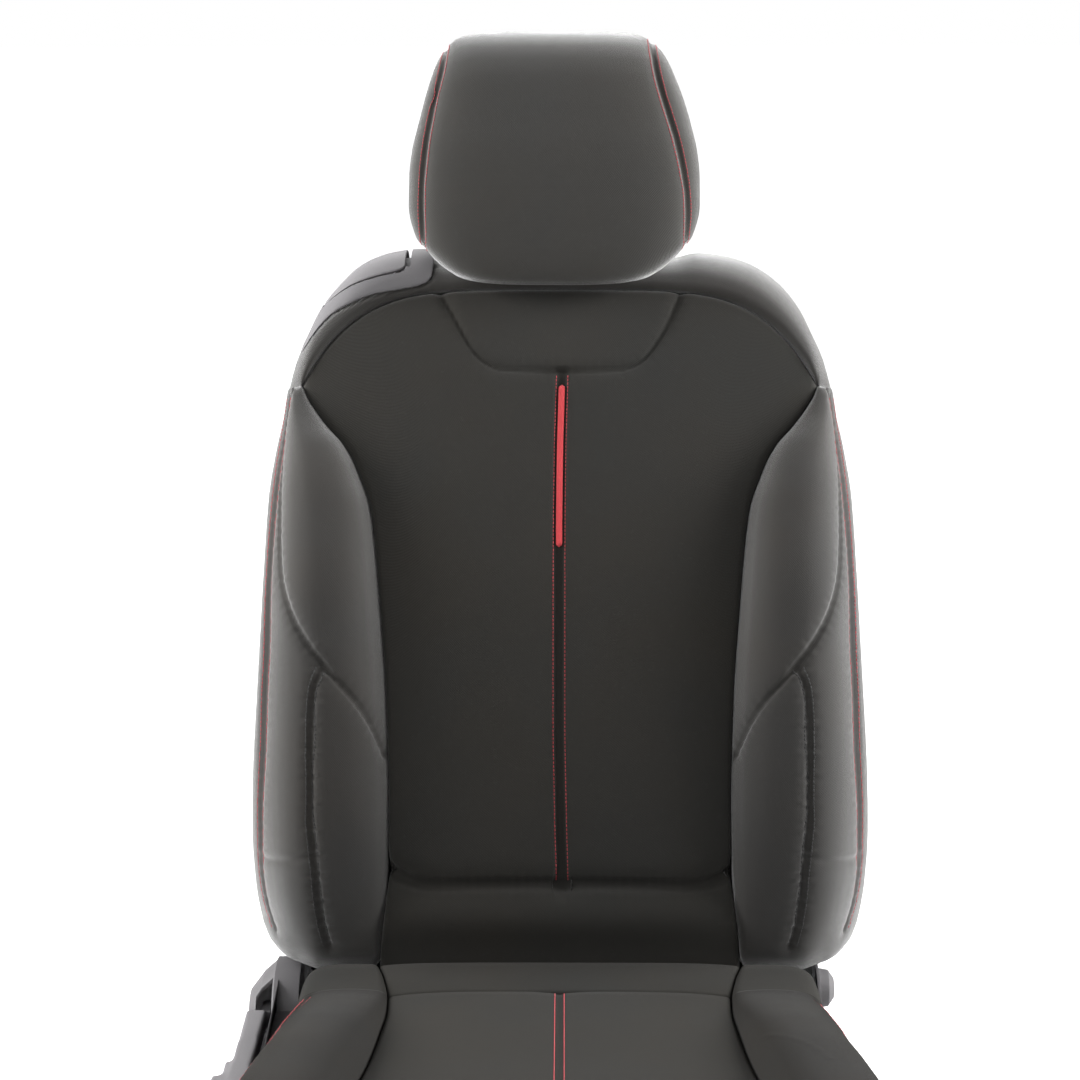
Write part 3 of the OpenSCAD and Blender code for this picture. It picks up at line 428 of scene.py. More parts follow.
@dataclass(frozen=True)
class Stitching:
    """A row of thread stitches beside a seam."""

    pitch: float = 3.4
    length: float = 2.7
    radius: float = 0.42
    sides: int = 6

    def capsule(self) -> tuple[np.ndarray, list[tuple[int, ...]]]:
        """Returns the points and faces of one stitch, its length along the first axis."""
        half = self.length / 2
        rings = [(-half, -0.5, 0.45), (-0.62 * half, 0.35, 0.95), (0.62 * half, 0.35, 0.95), (half, -0.5, 0.45)]
        n = self.sides
        verts = [
            (place, self.radius * size * math.cos(a), self.radius * (lift + size * math.sin(a)))
            for place, lift, size in rings
            for a in (2 * math.pi * k / n for k in range(n))
        ]
        faces: list[tuple[int, ...]] = [tuple(range(n)), tuple(range(4 * n - 1, 3 * n - 1, -1))]
        for a in range(3 * n):
            b = a - a % n + (a + 1) % n
            faces.append((a, a + n, b + n, b))
        return np.array(verts), faces

    def sew(self, name: str, tree: BVHTree, rows: Rows) -> bpy.types.Object:
        """Lays stitches along lines on a cover.

        Args:
            name: the piece's name.
            tree: the cover, as it is after its seams were pressed in.
            rows: each line in metres, with the sideways distance of its stitches in mm.

        Returns:
            One object that holds all of the stitches.
        """
        shape, faces = self.capsule()
        verts: list[np.ndarray] = []
        quads: list[tuple[int, ...]] = []
        for line, aside in rows:
            fine = arc_resample(line, max(4, int(run_along(line)[-1] / MM)))
            tangent = unit(np.gradient(fine, axis=0))
            normals = evened(np.array([tree.find_nearest(Vector(point))[1][:] for point in fine]), 12)
            path = evened(fine + unit(np.cross(normals, tangent)) * aside * MM, 4)
            path = np.array([tree.find_nearest(Vector(point))[0][:] for point in path])
            run = run_along(path) / MM
            for k in range(int(run[-1] / self.pitch)):
                middle = (k + 0.5) * self.pitch
                ends = [
                    np.array([np.interp(middle + d, run, path[:, c]) for c in range(3)])
                    for d in (-self.length / 2, self.length / 2)
                ]
                place, normal, _, _ = tree.find_nearest(Vector((ends[0] + ends[1]) / 2))
                along = ends[1] - ends[0]
                span = np.linalg.norm(along)
                if span < 0.5 * self.length * MM:
                    continue
                along /= span
                side = unit(np.cross(np.array(normal), along))
                up = np.cross(along, side)
                base = len(verts) * len(shape)
                verts.append(np.array(place) + (shape @ np.stack([along, side, up])) * MM)
                quads.extend(tuple(base + i for i in face) for face in faces)
        return surface_mesh(name, np.concatenate(verts), quads)


# ---------------------------------------------------------------- workbench


class Bench:
    """Modelling with Blender's own tools, one piece at a time."""

    @staticmethod
    def only(obj: bpy.types.Object) -> None:
        """Selects one object and makes it active."""
        bpy.ops.object.select_all(action="DESELECT")
        obj.select_set(True)
        bpy.context.view_layer.objects.active = obj

    @staticmethod
    def settle(obj: bpy.types.Object, name: str) -> bpy.types.Object:
        """Puts the object's place into its mesh and names it."""
        Bench.only(obj)
        bpy.ops.object.transform_apply(location=True, rotation=True, scale=True)
        obj.name = name
        obj.data.name = name
        return obj

    @staticmethod
    def apply(obj: bpy.types.Object) -> None:
        """Applies all of an object's modifiers."""
        Bench.only(obj)
        for modifier in list(obj.modifiers):
            bpy.ops.object.modifier_apply(modifier=modifier.name)

    @staticmethod
    def bevel(obj: bpy.types.Object, width: float, segments: int = 3, angle: float = 32.0) -> None:
        """Rounds the sharp edges.

        Args:
            obj: the object.
            width: width of the rounding in mm.
            segments: how many strips it has.
            angle: the least angle of an edge that is rounded, in degrees.
        """
        modifier = obj.modifiers.new("rounding", "BEVEL")
        modifier.width = width * MM
        modifier.segments = segments
        modifier.limit_method = "ANGLE"
        modifier.angle_limit = math.radians(angle)
        modifier.harden_normals = False
        Bench.apply(obj)

    @staticmethod
    def melt(obj: bpy.types.Object, cell: float, passes: int) -> None:
        """Rounds every edge and step of a solid moulding.

        Args:
            obj: the object.
            cell: size of the new mesh's cells in mm.
            passes: how often the new mesh is smoothed.
        """
        modifier = obj.modifiers.new("cells", "REMESH")
        modifier.mode = "VOXEL"
        modifier.voxel_size = cell * MM
        smooth = obj.modifiers.new("smoothing", "SMOOTH")
        smooth.factor = 0.5
        smooth.iterations = passes
        Bench.apply(obj)
        Bench.only(obj)
        bpy.ops.object.shade_smooth()

    @staticmethod
    def shade(obj: bpy.types.Object, angle: float = 35.0) -> None:
        """Shades smoothly across edges flatter than an angle in degrees."""
        Bench.only(obj)
        bpy.ops.object.shade_smooth_by_angle(angle=math.radians(angle))

    @staticmethod
    def outline_copy(node: str, name: str, width: float, segments: int = 3) -> bpy.types.Object:
        """Copies a CAD node, merges its facets into whole faces and rounds its edges.

        Args:
            node: the CAD node.
            name: the name of the new piece.
            width: width of the rounding in mm.
            segments: how many strips the rounding has.

        Returns:
            The new piece.
        """
        source = frame["nodes"][node]
        mesh = source.data.copy()
        obj = bpy.data.objects.new(name, mesh)
        mesh.name = name
        bpy.context.scene.collection.objects.link(obj)
        obj.matrix_world = source.matrix_world
        Bench.settle(obj, name)
        bpy.ops.object.mode_set(mode="EDIT")
        bpy.ops.mesh.select_all(action="SELECT")
        bpy.ops.mesh.remove_doubles(threshold=0.00002)
        bpy.ops.mesh.dissolve_limited(angle_limit=math.radians(1.0))
        bpy.ops.object.mode_set(mode="OBJECT")
        obj.data.materials.clear()
        if width:
            Bench.bevel(obj, width, segments)
        Bench.shade(obj)
        return obj


# ---------------------------------------------------------------- finishes


class Nodes:
    """Adds nodes to one tree and wires them up."""

    def __init__(self, tree: bpy.types.NodeTree) -> None:
        """Takes the tree to work on."""
        self.tree = tree

    def feed(self, place: bpy.types.NodeSocket, value: object) -> None:
        """Gives an input what another node makes, or a fixed value.

        Args:
            place: the input.
            value: a socket to link to it, or its value.
        """
        if isinstance(value, bpy.types.NodeSocket):
            self.tree.links.new(value, place)
        else:
            place.default_value = value

    def add(self, kind: str, feeds: dict[int | str, object] | None = None, **settings: object) -> bpy.types.Node:
        """Adds a node.

        Args:
            kind: what it is, without the first words of its type's name.
            feeds: a socket or a value for each input that is used.
            **settings: its properties.

        Returns:
            The node.
        """
        node = self.tree.nodes.new(f"ShaderNode{kind}")
        for label, value in settings.items():
            setattr(node, label, value)
        for label, value in (feeds or {}).items():
            self.feed(node.inputs[label], value)
        return node

    def math(self, kind: str, *values: object) -> bpy.types.NodeSocket:
        """Returns the result of a sum of sockets and numbers."""
        return self.add("Math", dict(enumerate(values)), operation=kind).outputs[0]

    def noise(self, vector: bpy.types.NodeSocket, scale: object, detail: float = 3.0) -> bpy.types.NodeSocket:
        """Returns a noise that is read at a vector."""
        return self.add("TexNoise", {"Vector": vector, "Scale": scale, "Detail": detail}).outputs["Fac"]


class Pattern(Nodes):
    """A node group that several finishes share, read at a vector."""

    def __init__(self, name: str, outputs: tuple[str, ...], **inputs: float) -> None:
        """Starts the group.

        Args:
            name: its name.
            outputs: names of the values that it gives.
            **inputs: its settings with their defaults.
        """
        group = bpy.data.node_groups.new(name, "ShaderNodeTree")
        group.interface.new_socket(name="Vector", in_out="INPUT", socket_type="NodeSocketVector")
        for label, default in inputs.items():
            socket = group.interface.new_socket(name=label, in_out="INPUT", socket_type="NodeSocketFloat")
            socket.default_value = default
        for label in outputs:
            group.interface.new_socket(name=label, in_out="OUTPUT", socket_type="NodeSocketFloat")
        super().__init__(group)
        self.given = group.nodes.new("NodeGroupInput")
        self.result = group.nodes.new("NodeGroupOutput")

    def given_as(self, label: str) -> bpy.types.NodeSocket:
        """Returns one of the group's inputs."""
        return self.given.outputs[label]

    def give(self, **values: bpy.types.NodeSocket) -> bpy.types.NodeTree:
        """Feeds the group's outputs and returns the group."""
        for label, value in values.items():
            self.feed(self.result.inputs[label], value)
        return self.tree


@cache
def weave() -> bpy.types.NodeTree:
    """Returns the woven pattern of a cloth: its relief and which thread lies on top."""
    p = Pattern("weave", ("Height", "Thread"), Pitch=0.0013)
    vector = p.given_as("Vector")
    parts = p.add("SeparateXYZ", {0: vector}).outputs
    full = p.math("DIVIDE", 2 * math.pi, p.given_as("Pitch"))
    across = p.math("MULTIPLY", parts["X"], full)
    along = p.math("MULTIPLY", parts["Y"], full)
    wave = p.math("MULTIPLY", p.math("SINE", across), p.math("SINE", along))
    diagonal = p.math("SINE", p.math("ADD", across, along))
    thread = p.math("MULTIPLY_ADD", wave, 0.5, 0.5)
    relief = p.math("MULTIPLY_ADD", diagonal, 0.18, thread)
    return p.give(Height=p.math("MULTIPLY_ADD", p.noise(vector, 2600.0, 2.0), 0.7, relief), Thread=thread)


@cache
def grain() -> bpy.types.NodeTree:
    """Returns the pebbled grain of moulded plastic."""
    p = Pattern("grain", ("Height",), Scale=900.0)
    vector, scale = p.given_as("Vector"), p.given_as("Scale")
    cells = p.add("TexVoronoi", {"Vector": vector, "Scale": scale}, feature="SMOOTH_F1")
    fine = p.noise(vector, p.math("MULTIPLY", scale, 2.3))
    return p.give(Height=p.math("MULTIPLY_ADD", fine, 0.5, cells.outputs["Distance"]))


@cache
def wear() -> bpy.types.NodeTree:
    """Returns soft patches of use and fine specks, from 0 to 1."""
    p = Pattern("wear", ("Patches", "Specks"), Scale=9.0)
    vector, scale = p.given_as("Vector"), p.given_as("Scale")
    fine = p.noise(vector, p.math("MULTIPLY", scale, 38.0), 2.0)
    specks = p.math("SMOOTH_MAX", p.math("SUBTRACT", fine, 0.62), 0.0, 0.05)
    return p.give(Patches=p.noise(vector, scale, 4.0), Specks=specks)


@cache
def brushed() -> bpy.types.NodeTree:
    """Returns fine drawn lines along one axis, for turned and drawn steel."""
    p = Pattern("brushed", ("Lines",), Scale=60.0)
    stretched = p.add("Mapping", {"Vector": p.given_as("Vector"), "Scale": (0.4, 9.0, 9.0)})
    return p.give(Lines=p.noise(stretched.outputs["Vector"], p.given_as("Scale"), 3.0))


Colour = tuple[float, float, float]


def tinted(colour: Colour, factor: float, lift: float = 0.0, top: float = math.inf) -> Colour:
    """Returns a colour made lighter or darker, no lighter than top."""
    return tuple(min(top, factor * c + lift) for c in colour)


class Sheet(Nodes):
    """A material's node tree while it is being laid out."""

    def __init__(self, name: str) -> None:
        """Starts a material with one shader and its coordinates."""
        self.material = bpy.data.materials.new(name)
        self.material.use_nodes = True
        super().__init__(self.material.node_tree)
        self.shader = self.tree.nodes["Principled BSDF"]
        self.places = self.add("TexCoord").outputs

    def group(self, pattern: bpy.types.NodeTree, place: str, **values: float) -> bpy.types.NodeOutputs:
        """Returns what a shared pattern gives at one of the coordinates, with its settings."""
        return self.add("Group", {"Vector": self.places[place], **values}, node_tree=pattern).outputs

    def mix(self, factor: bpy.types.NodeSocket, first: object, second: Colour) -> bpy.types.NodeSocket:
        """Mixes two colours.

        Args:
            factor: how much of the second colour shows.
            first: the first colour, or a socket with one.
            second: the second colour.

        Returns:
            The mixed colour.
        """
        under = first if isinstance(first, bpy.types.NodeSocket) else (*first, 1.0)
        feeds = {"Factor": factor, "A": under, "B": (*second, 1.0)}
        return self.add("Mix", feeds, data_type="RGBA").outputs["Result"]

    def span(self, value: bpy.types.NodeSocket, low: float, high: float) -> bpy.types.NodeSocket:
        """Returns a value from 0 to 1 mapped onto a span."""
        return self.add("MapRange", {"Value": value, "To Min": low, "To Max": high}).outputs["Result"]

    def finish(
        self, settings: dict[str, object], *layers: tuple[bpy.types.NodeSocket, float, float]
    ) -> bpy.types.Material:
        """Sets the shader and stacks bumps onto its normal.

        Args:
            settings: a socket or a value for each of the shader's inputs that is used.
            *layers: for each bump its height, its strength and its depth in metres.

        Returns:
            The material.
        """
        for label, value in settings.items():
            self.feed(self.shader.inputs[label], value)
        feeds: dict[int | str, object] = {}
        for height, strength, depth in layers:
            feeds |= {"Height": height, "Strength": strength, "Distance": depth}
            feeds["Normal"] = self.add("Bump", feeds).outputs["Normal"]
        self.feed(self.shader.inputs["Normal"], feeds["Normal"])
        return self.material


@dataclass(frozen=True)
class WovenCloth:
    """Finely woven seat cloth."""

    name: str
    colour: Colour
    light_thread: float = 1.55
    pitch: float = 0.0014
    sheen: float = 0.35
    warmth: float = 0.12
    gloss: float = 0.1
    sheen_spread: float = 0.35

    def make(self) -> bpy.types.Material:
        """Returns the cloth's material."""
        sheet = Sheet(self.name)
        cloth = sheet.group(weave(), "UV", Pitch=self.pitch)
        use = sheet.group(wear(), "Object", Scale=7.0)
        woven = sheet.mix(cloth["Thread"], tinted(self.colour, 0.78), tinted(self.colour, self.light_thread))
        red, green, blue = self.colour
        warm = (red * (1.35 + self.warmth), green * 1.3, blue * (1.25 - self.warmth))
        used = sheet.mix(sheet.span(use["Patches"], -0.25, 0.85), woven, warm)
        settings = {
            "Base Color": sheet.mix(use["Specks"], used, tinted(self.colour, 2.2)),
            "Roughness": sheet.span(use["Patches"], 0.8, 0.98),
            "Sheen Weight": self.sheen,
            "Sheen Roughness": self.sheen_spread,
            "Specular IOR Level": self.gloss,
        }
        return sheet.finish(settings, (use["Patches"], 0.25, 0.004), (cloth["Height"], 0.55, 0.00032))


@dataclass(frozen=True)
class Thread:
    """Sewing thread."""

    name: str
    colour: Colour

    def make(self) -> bpy.types.Material:
        """Returns the thread's material, twisted along its length."""
        sheet = Sheet(self.name)
        twist = sheet.group(brushed(), "Object", Scale=900.0)["Lines"]
        settings = {
            "Base Color": sheet.mix(twist, tinted(self.colour, 0.6), self.colour),
            "Roughness": sheet.span(twist, 0.5, 0.8),
            "Sheen Weight": 0.2,
        }
        return sheet.finish(settings, (twist, 0.4, 0.0002))


@dataclass(frozen=True)
class GrainedPlastic:
    """Moulded plastic with a fine grain."""

    name: str
    colour: Colour
    roughness: float = 0.52
    grain: float = 1100.0
    depth: float = 0.00012

    def make(self) -> bpy.types.Material:
        """Returns the plastic's material, lighter where hands and shoes rub it."""
        sheet = Sheet(self.name)
        pebbles = sheet.group(grain(), "Object", Scale=self.grain)
        use = sheet.group(wear(), "Object", Scale=11.0)
        light = tinted(self.colour, 1.2, 0.004, 1.0)
        shade = sheet.mix(use["Patches"], tinted(self.colour, 0.88), light)
        settings = {
            "Base Color": sheet.mix(use["Specks"], shade, tinted(self.colour, 1.7, 0.01, 1.0)),
            "Roughness": sheet.span(use["Patches"], self.roughness - 0.08, self.roughness + 0.12),
            "Specular IOR Level": 0.3,
        }
        return sheet.finish(settings, (pebbles["Height"], 0.6, self.depth))


@dataclass(frozen=True)
class Metal:
    """Bare or plated steel with drawn lines."""

    name: str
    colour: Colour
    roughness: float = 0.32
    rust: Colour = (0.16, 0.12, 0.08)

    def make(self) -> bpy.types.Material:
        """Returns the steel's material."""
        sheet = Sheet(self.name)
        drawn = sheet.group(brushed(), "Object", Scale=70.0)["Lines"]
        use = sheet.group(wear(), "Object", Scale=16.0)
        shade = sheet.mix(drawn, tinted(self.colour, 0.72), self.colour)
        settings = {
            "Base Color": sheet.mix(use["Specks"], shade, self.rust),
            "Roughness": sheet.span(use["Patches"], self.roughness - 0.1, self.roughness + 0.2),
            "Metallic": 1.0,
        }
        return sheet.finish(settings, (drawn, 0.25, 0.00015))


@dataclass(frozen=True)
class CoatedSteel:
    """Steel under black dip coating, with chips and dust."""

    name: str
    colour: Colour
    roughness: float = 0.45

    def make(self) -> bpy.types.Material:
        """Returns the coated steel's material."""
        sheet = Sheet(self.name)
        use = sheet.group(wear(), "Object", Scale=14.0)
        peel = sheet.group(grain(), "Object", Scale=420.0)
        shade = sheet.mix(use["Patches"], self.colour, tinted(self.colour, 1.6, 0.01))
        settings = {
            "Base Color": sheet.mix(use["Specks"], shade, tinted(self.colour, 2.4, 0.01)),
            "Roughness": sheet.span(use["Patches"], self.roughness - 0.12, self.roughness + 0.2),
            "Coat Weight": 0.15,
        }
        return sheet.finish(settings, (peel["Height"], 0.3, 0.00008))


class Finish(Enum):
    """The seat's finishes; those of a record slot bear its name."""

    CENTRE = WovenCloth("centre_cloth", (0.030, 0.030, 0.0285), sheen=0.25)
    SIDE = WovenCloth("side_cloth", (0.033, 0.0325, 0.0315), sheen=1.0, sheen_spread=0.42)
    # The cushion's two cloths are the backrest's cloths with a darker base colour: painted shade where the backrest
    # shadows the cushion. They also have less sheen and gloss.
    SEAT_CENTRE = WovenCloth("seat_centre_cloth_painted_shade", (0.025, 0.025, 0.0238), sheen=0.03, gloss=0.03)
    SEAT_SIDE = WovenCloth("seat_side_cloth_painted_shade", (0.0205, 0.0203, 0.0196), sheen=0.05, gloss=0.03)
    HEAD = WovenCloth("head_cloth", (0.033, 0.033, 0.0315), sheen=1.0, sheen_spread=0.42)
    TAB_RED = WovenCloth("tab_weave", (0.62, 0.075, 0.085), 1.15, 0.0009, 0.2, 0.0)
    RED_THREAD = Thread("red_thread", (0.55, 0.03, 0.045))
    BLACK_THREAD = Thread("black_thread", (0.02, 0.02, 0.02))
    TRIM_PLASTIC = GrainedPlastic("trim_plastic", (0.11, 0.106, 0.11))
    BEZEL = GrainedPlastic("bezel_plastic", (0.15, 0.145, 0.15), 0.66)
    LEVER_PLASTIC = GrainedPlastic("lever_plastic", (0.18, 0.174, 0.18), 0.62)
    BLACK_PLASTIC = GrainedPlastic("black_plastic", (0.018, 0.018, 0.018), 0.5)
    NYLON = GrainedPlastic("natural_nylon", (0.7, 0.69, 0.62), 0.4, 500.0, 0.00004)
    FRAME_STEEL = CoatedSteel("coated_frame", (0.02, 0.02, 0.022))
    RAIL_STEEL = CoatedSteel("phosphated_rail", (0.045, 0.045, 0.05), 0.4)
    BARE_STEEL = Metal("zinc_plate", (0.62, 0.61, 0.58))
    SPRING_STEEL = Metal("oiled_spring", (0.3, 0.29, 0.28), 0.38)
    POST_STEEL = Metal("polished_post", (0.72, 0.72, 0.73), 0.16)
    COVER_FABRIC = SIDE


class Wardrobe:
    """Makes every finish once and dresses the pieces in them."""

    def __init__(self) -> None:
        """Makes the materials."""
        self.materials = {finish: finish.value.make() for finish in Finish}

    def put_on(self, obj: bpy.types.Object, finish: Finish) -> None:
        """Makes a finish the only one of a piece."""
        obj.data.materials.clear()
        obj.data.materials.append(self.materials[finish])

    def dress(self, obj: bpy.types.Object, finish: Finish, body: str, slot: str, *replaces: str) -> bpy.types.Object:
        """Gives a piece its finish and its body.

        Args:
            obj: the piece.
            finish: its finish.
            body: the CAD body it rides on.
            slot: the record's material slot; not used.
            *replaces: the CAD nodes it stands for.

        Returns:
            The same piece.
        """
        self.put_on(obj, finish)
        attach(obj, body)
        if replaces:
            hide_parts(*replaces)
        LOG.info("%s rides on %s", obj.name, body)
        return obj

    def cover(self, cloth: Cloth, finish: Finish, body: str, node: str, fill: float = COVER_FILL) -> BVHTree:
        """Makes a padded cover that stands for one CAD node.

        Args:
            cloth: the covered form.
            finish: its cloth.
            body: the CAD body it rides on.
            node: the CAD node it stands for.
            fill: how firmly it is filled; not used.

        Returns:
            A search tree of the cover, for its stitches.
        """
        self.dress(cloth.make(), finish, body, "cover_fabric", node)
        return cloth.tree()


# ---------------------------------------------------------------- backrest


@dataclass(frozen=True)
class Channel:
    """The narrow sunk strip between two rows of stitches, with the soft dip around it, in mm."""

    half: float
    depth: float
    dip: float
    dip_half: float = 17.0
    edge: float = 0.55
    stitches: float = 0.9

    def drop(self, aside: np.ndarray) -> np.ndarray:
        """Returns how far the cover lies sunk at a distance from the middle."""
        strip = 1 / (1 + np.exp((aside - self.half) / self.edge))
        return self.depth * strip + self.dip * np.exp(-((aside / self.dip_half) ** 2))


@dataclass(frozen=True)
class BackShape:
    """Outlines of the backrest over its height s, in mm."""

    tip: float = 556.0
    pad_rear: float = 27.0
    rear: float = -37.0
    top_rise: float = 89.0
    half_width: Curve = Curve((
        (40, 246), (54, 252), (65, 257.5), (76, 261), (98, 266.5), (120, 269.8), (165, 272.3), (209, 271.5),
        (298, 267), (388, 262.8), (457, 260), (502, 254.5), (548, 246), (571, 241.5), (594, 236),
        (617, 226), (640, 215), (663, 196), (680, 170), (690, 135),
    ))
    seam_x: Curve = Curve((
        (15, 157), (60, 155.5), (103, 150.5), (142, 148.3), (191, 147.8), (279, 150.3), (366, 156.8),
        (402, 160), (446, 166), (475, 176), (489, 182), (504, 191), (518, 203.5), (533, 215), (548, 224),
        (556, 227),
    ))
    seam_f: Curve = Curve((
        (15, 58), (60, 70), (100, 82), (140, 89), (200, 94), (300, 97), (363, 97), (450, 92), (520, 83),
        (556, 77), (600, 68), (645, 56),
    ))
    rise: Curve = Curve((
        (50, 2), (60, 4), (80, 8), (110, 14), (150, 22), (200, 30), (250, 35), (300, 38), (363, 38),
        (450, 30), (500, 20), (530, 9), (556, 1),
    ))
    crown: Curve = Curve((
        (0, 684), (100, 684), (125, 689), (150, 686), (170, 680), (196, 663), (215, 640), (226, 617),
        (236, 594), (242, 573), (246, 560),
    ))

    def top_seam(self, u: np.ndarray) -> np.ndarray:
        """Returns the height of the top seam at u, from -1 to 1 across the centre panel."""
        return self.tip + self.top_rise * (1 - np.abs(u) ** 5)


@dataclass
class CentrePanel:
    """The backrest's middle, with its channel, lumbar tuck and neck seam."""

    shape: BackShape
    channel: Channel = Channel(4.3, 3.4, 2.4)
    channel_run: Curve = Curve(((104, 0.0), (122, 0.75), (150, 1), (556, 1), (567, 0.8), (572, 0.0)))
    crown: Curve = Curve(((15, 0.4), (100, 1), (560, 1), (645, 0.2)))
    crown_rise: float = 6.5
    bottom: float = 15.0
    points: int = 200
    lumbar: Knots = (
        (-147, 133), (-138, 127), (-125, 120.5), (-110, 118.5), (-81, 119), (0, 120), (75, 119),
        (110, 118), (126, 119.5), (138, 124), (147, 130),
    )
    neck: Knots = (
        (-109, 648), (-105, 640), (-95.8, 622), (-87.5, 606), (-79.3, 591), (-71.2, 580.5), (-60.6, 573),
        (-50, 569.5), (0, 568), (50, 569), (63, 572), (73, 578), (82, 588.5), (90, 601), (97, 614),
        (104, 632), (108, 646),
    )
    centre_x: Curve = Curve(
        ((100, 2.0), (120, 2.0), (180, 0.6), (268, -0.7), (408, -0.6), (494, 0.2), (538, 1.3), (568, 2.2))
    )

    def front(self, x: np.ndarray, s: np.ndarray, w: np.ndarray, below_top: np.ndarray) -> np.ndarray:
        """Gives the forward reach of the panel.

        Args:
            x: across.
            s: height.
            w: half width of the panel at that height.
            below_top: distance below the top seam.

        Returns:
            The reach f in mm.
        """
        reach = self.shape.seam_f(s) + self.crown_rise * (1 - (np.abs(x) / w) ** 4) * self.crown(s)
        reach -= self.channel_run(s) * self.channel.drop(np.abs(x - self.centre_x(s)))
        reach -= sewn_edge(w - np.abs(x)) + sewn_edge(below_top)
        below = 4.0 * np.exp(-(((s - 88) / 20) ** 2))
        return reach + below

    def build(self) -> Cloth:
        """Returns the panel with its seams pressed in."""
        tip = self.shape.tip
        heights = stations(self.bottom, tip, 1.9, fine_low=False) - self.bottom
        heights /= heights[-1]
        rows = []
        for t in heights:
            w = float(self.shape.seam_x(self.bottom + t * (tip - self.bottom))) - 0.15
            x = respaced(stations(-w, w, 2.7), self.points)
            top = self.shape.top_seam(x / w)
            s = self.bottom + t * (top - self.bottom)
            f = self.front(x, s, np.full_like(x, w + 0.01), top - s)
            rear = np.full(9, self.shape.pad_rear)
            back_x = np.linspace(w, -w, 9)
            back_s = np.interp(back_x, x, s)
            wall = np.linspace(0, 1, 5)[1:-1]
            right = (np.full(3, w), f[-1] + (self.shape.pad_rear - f[-1]) * wall, np.full(3, s[-1]))
            left = (np.full(3, -w), self.shape.pad_rear + (f[0] - self.shape.pad_rear) * wall, np.full(3, s[0]))
            ring = [np.concatenate(p) for p in zip((x, f, s), right, (back_x, rear, back_s), left)]
            rows.append(BACK.place(*ring))
        cloth = Cloth("backrest_centre_cover", np.array(rows))
        tree = cloth.tree()
        lumbar = back_line(tree, self.lumbar)
        cloth.seam(lumbar, (4.5, 3.6), (3.4, 13.0, 0.12))
        neck = back_line(tree, self.neck)
        cloth.seam(neck, (2.3, 1.5), (1.5, 6.5, 0.15))
        return cloth

    def stitch_rows(self, tree: BVHTree) -> Rows:
        """Returns the two lines of stitches along the channel."""
        s = np.linspace(123.0, 568.0, 60)
        aside = self.channel.half + self.channel.stitches
        return [
            (back_line(tree, tuple(zip(self.centre_x(s) + side.value * aside, s)), 2.0), 0.0) for side in Side
        ]


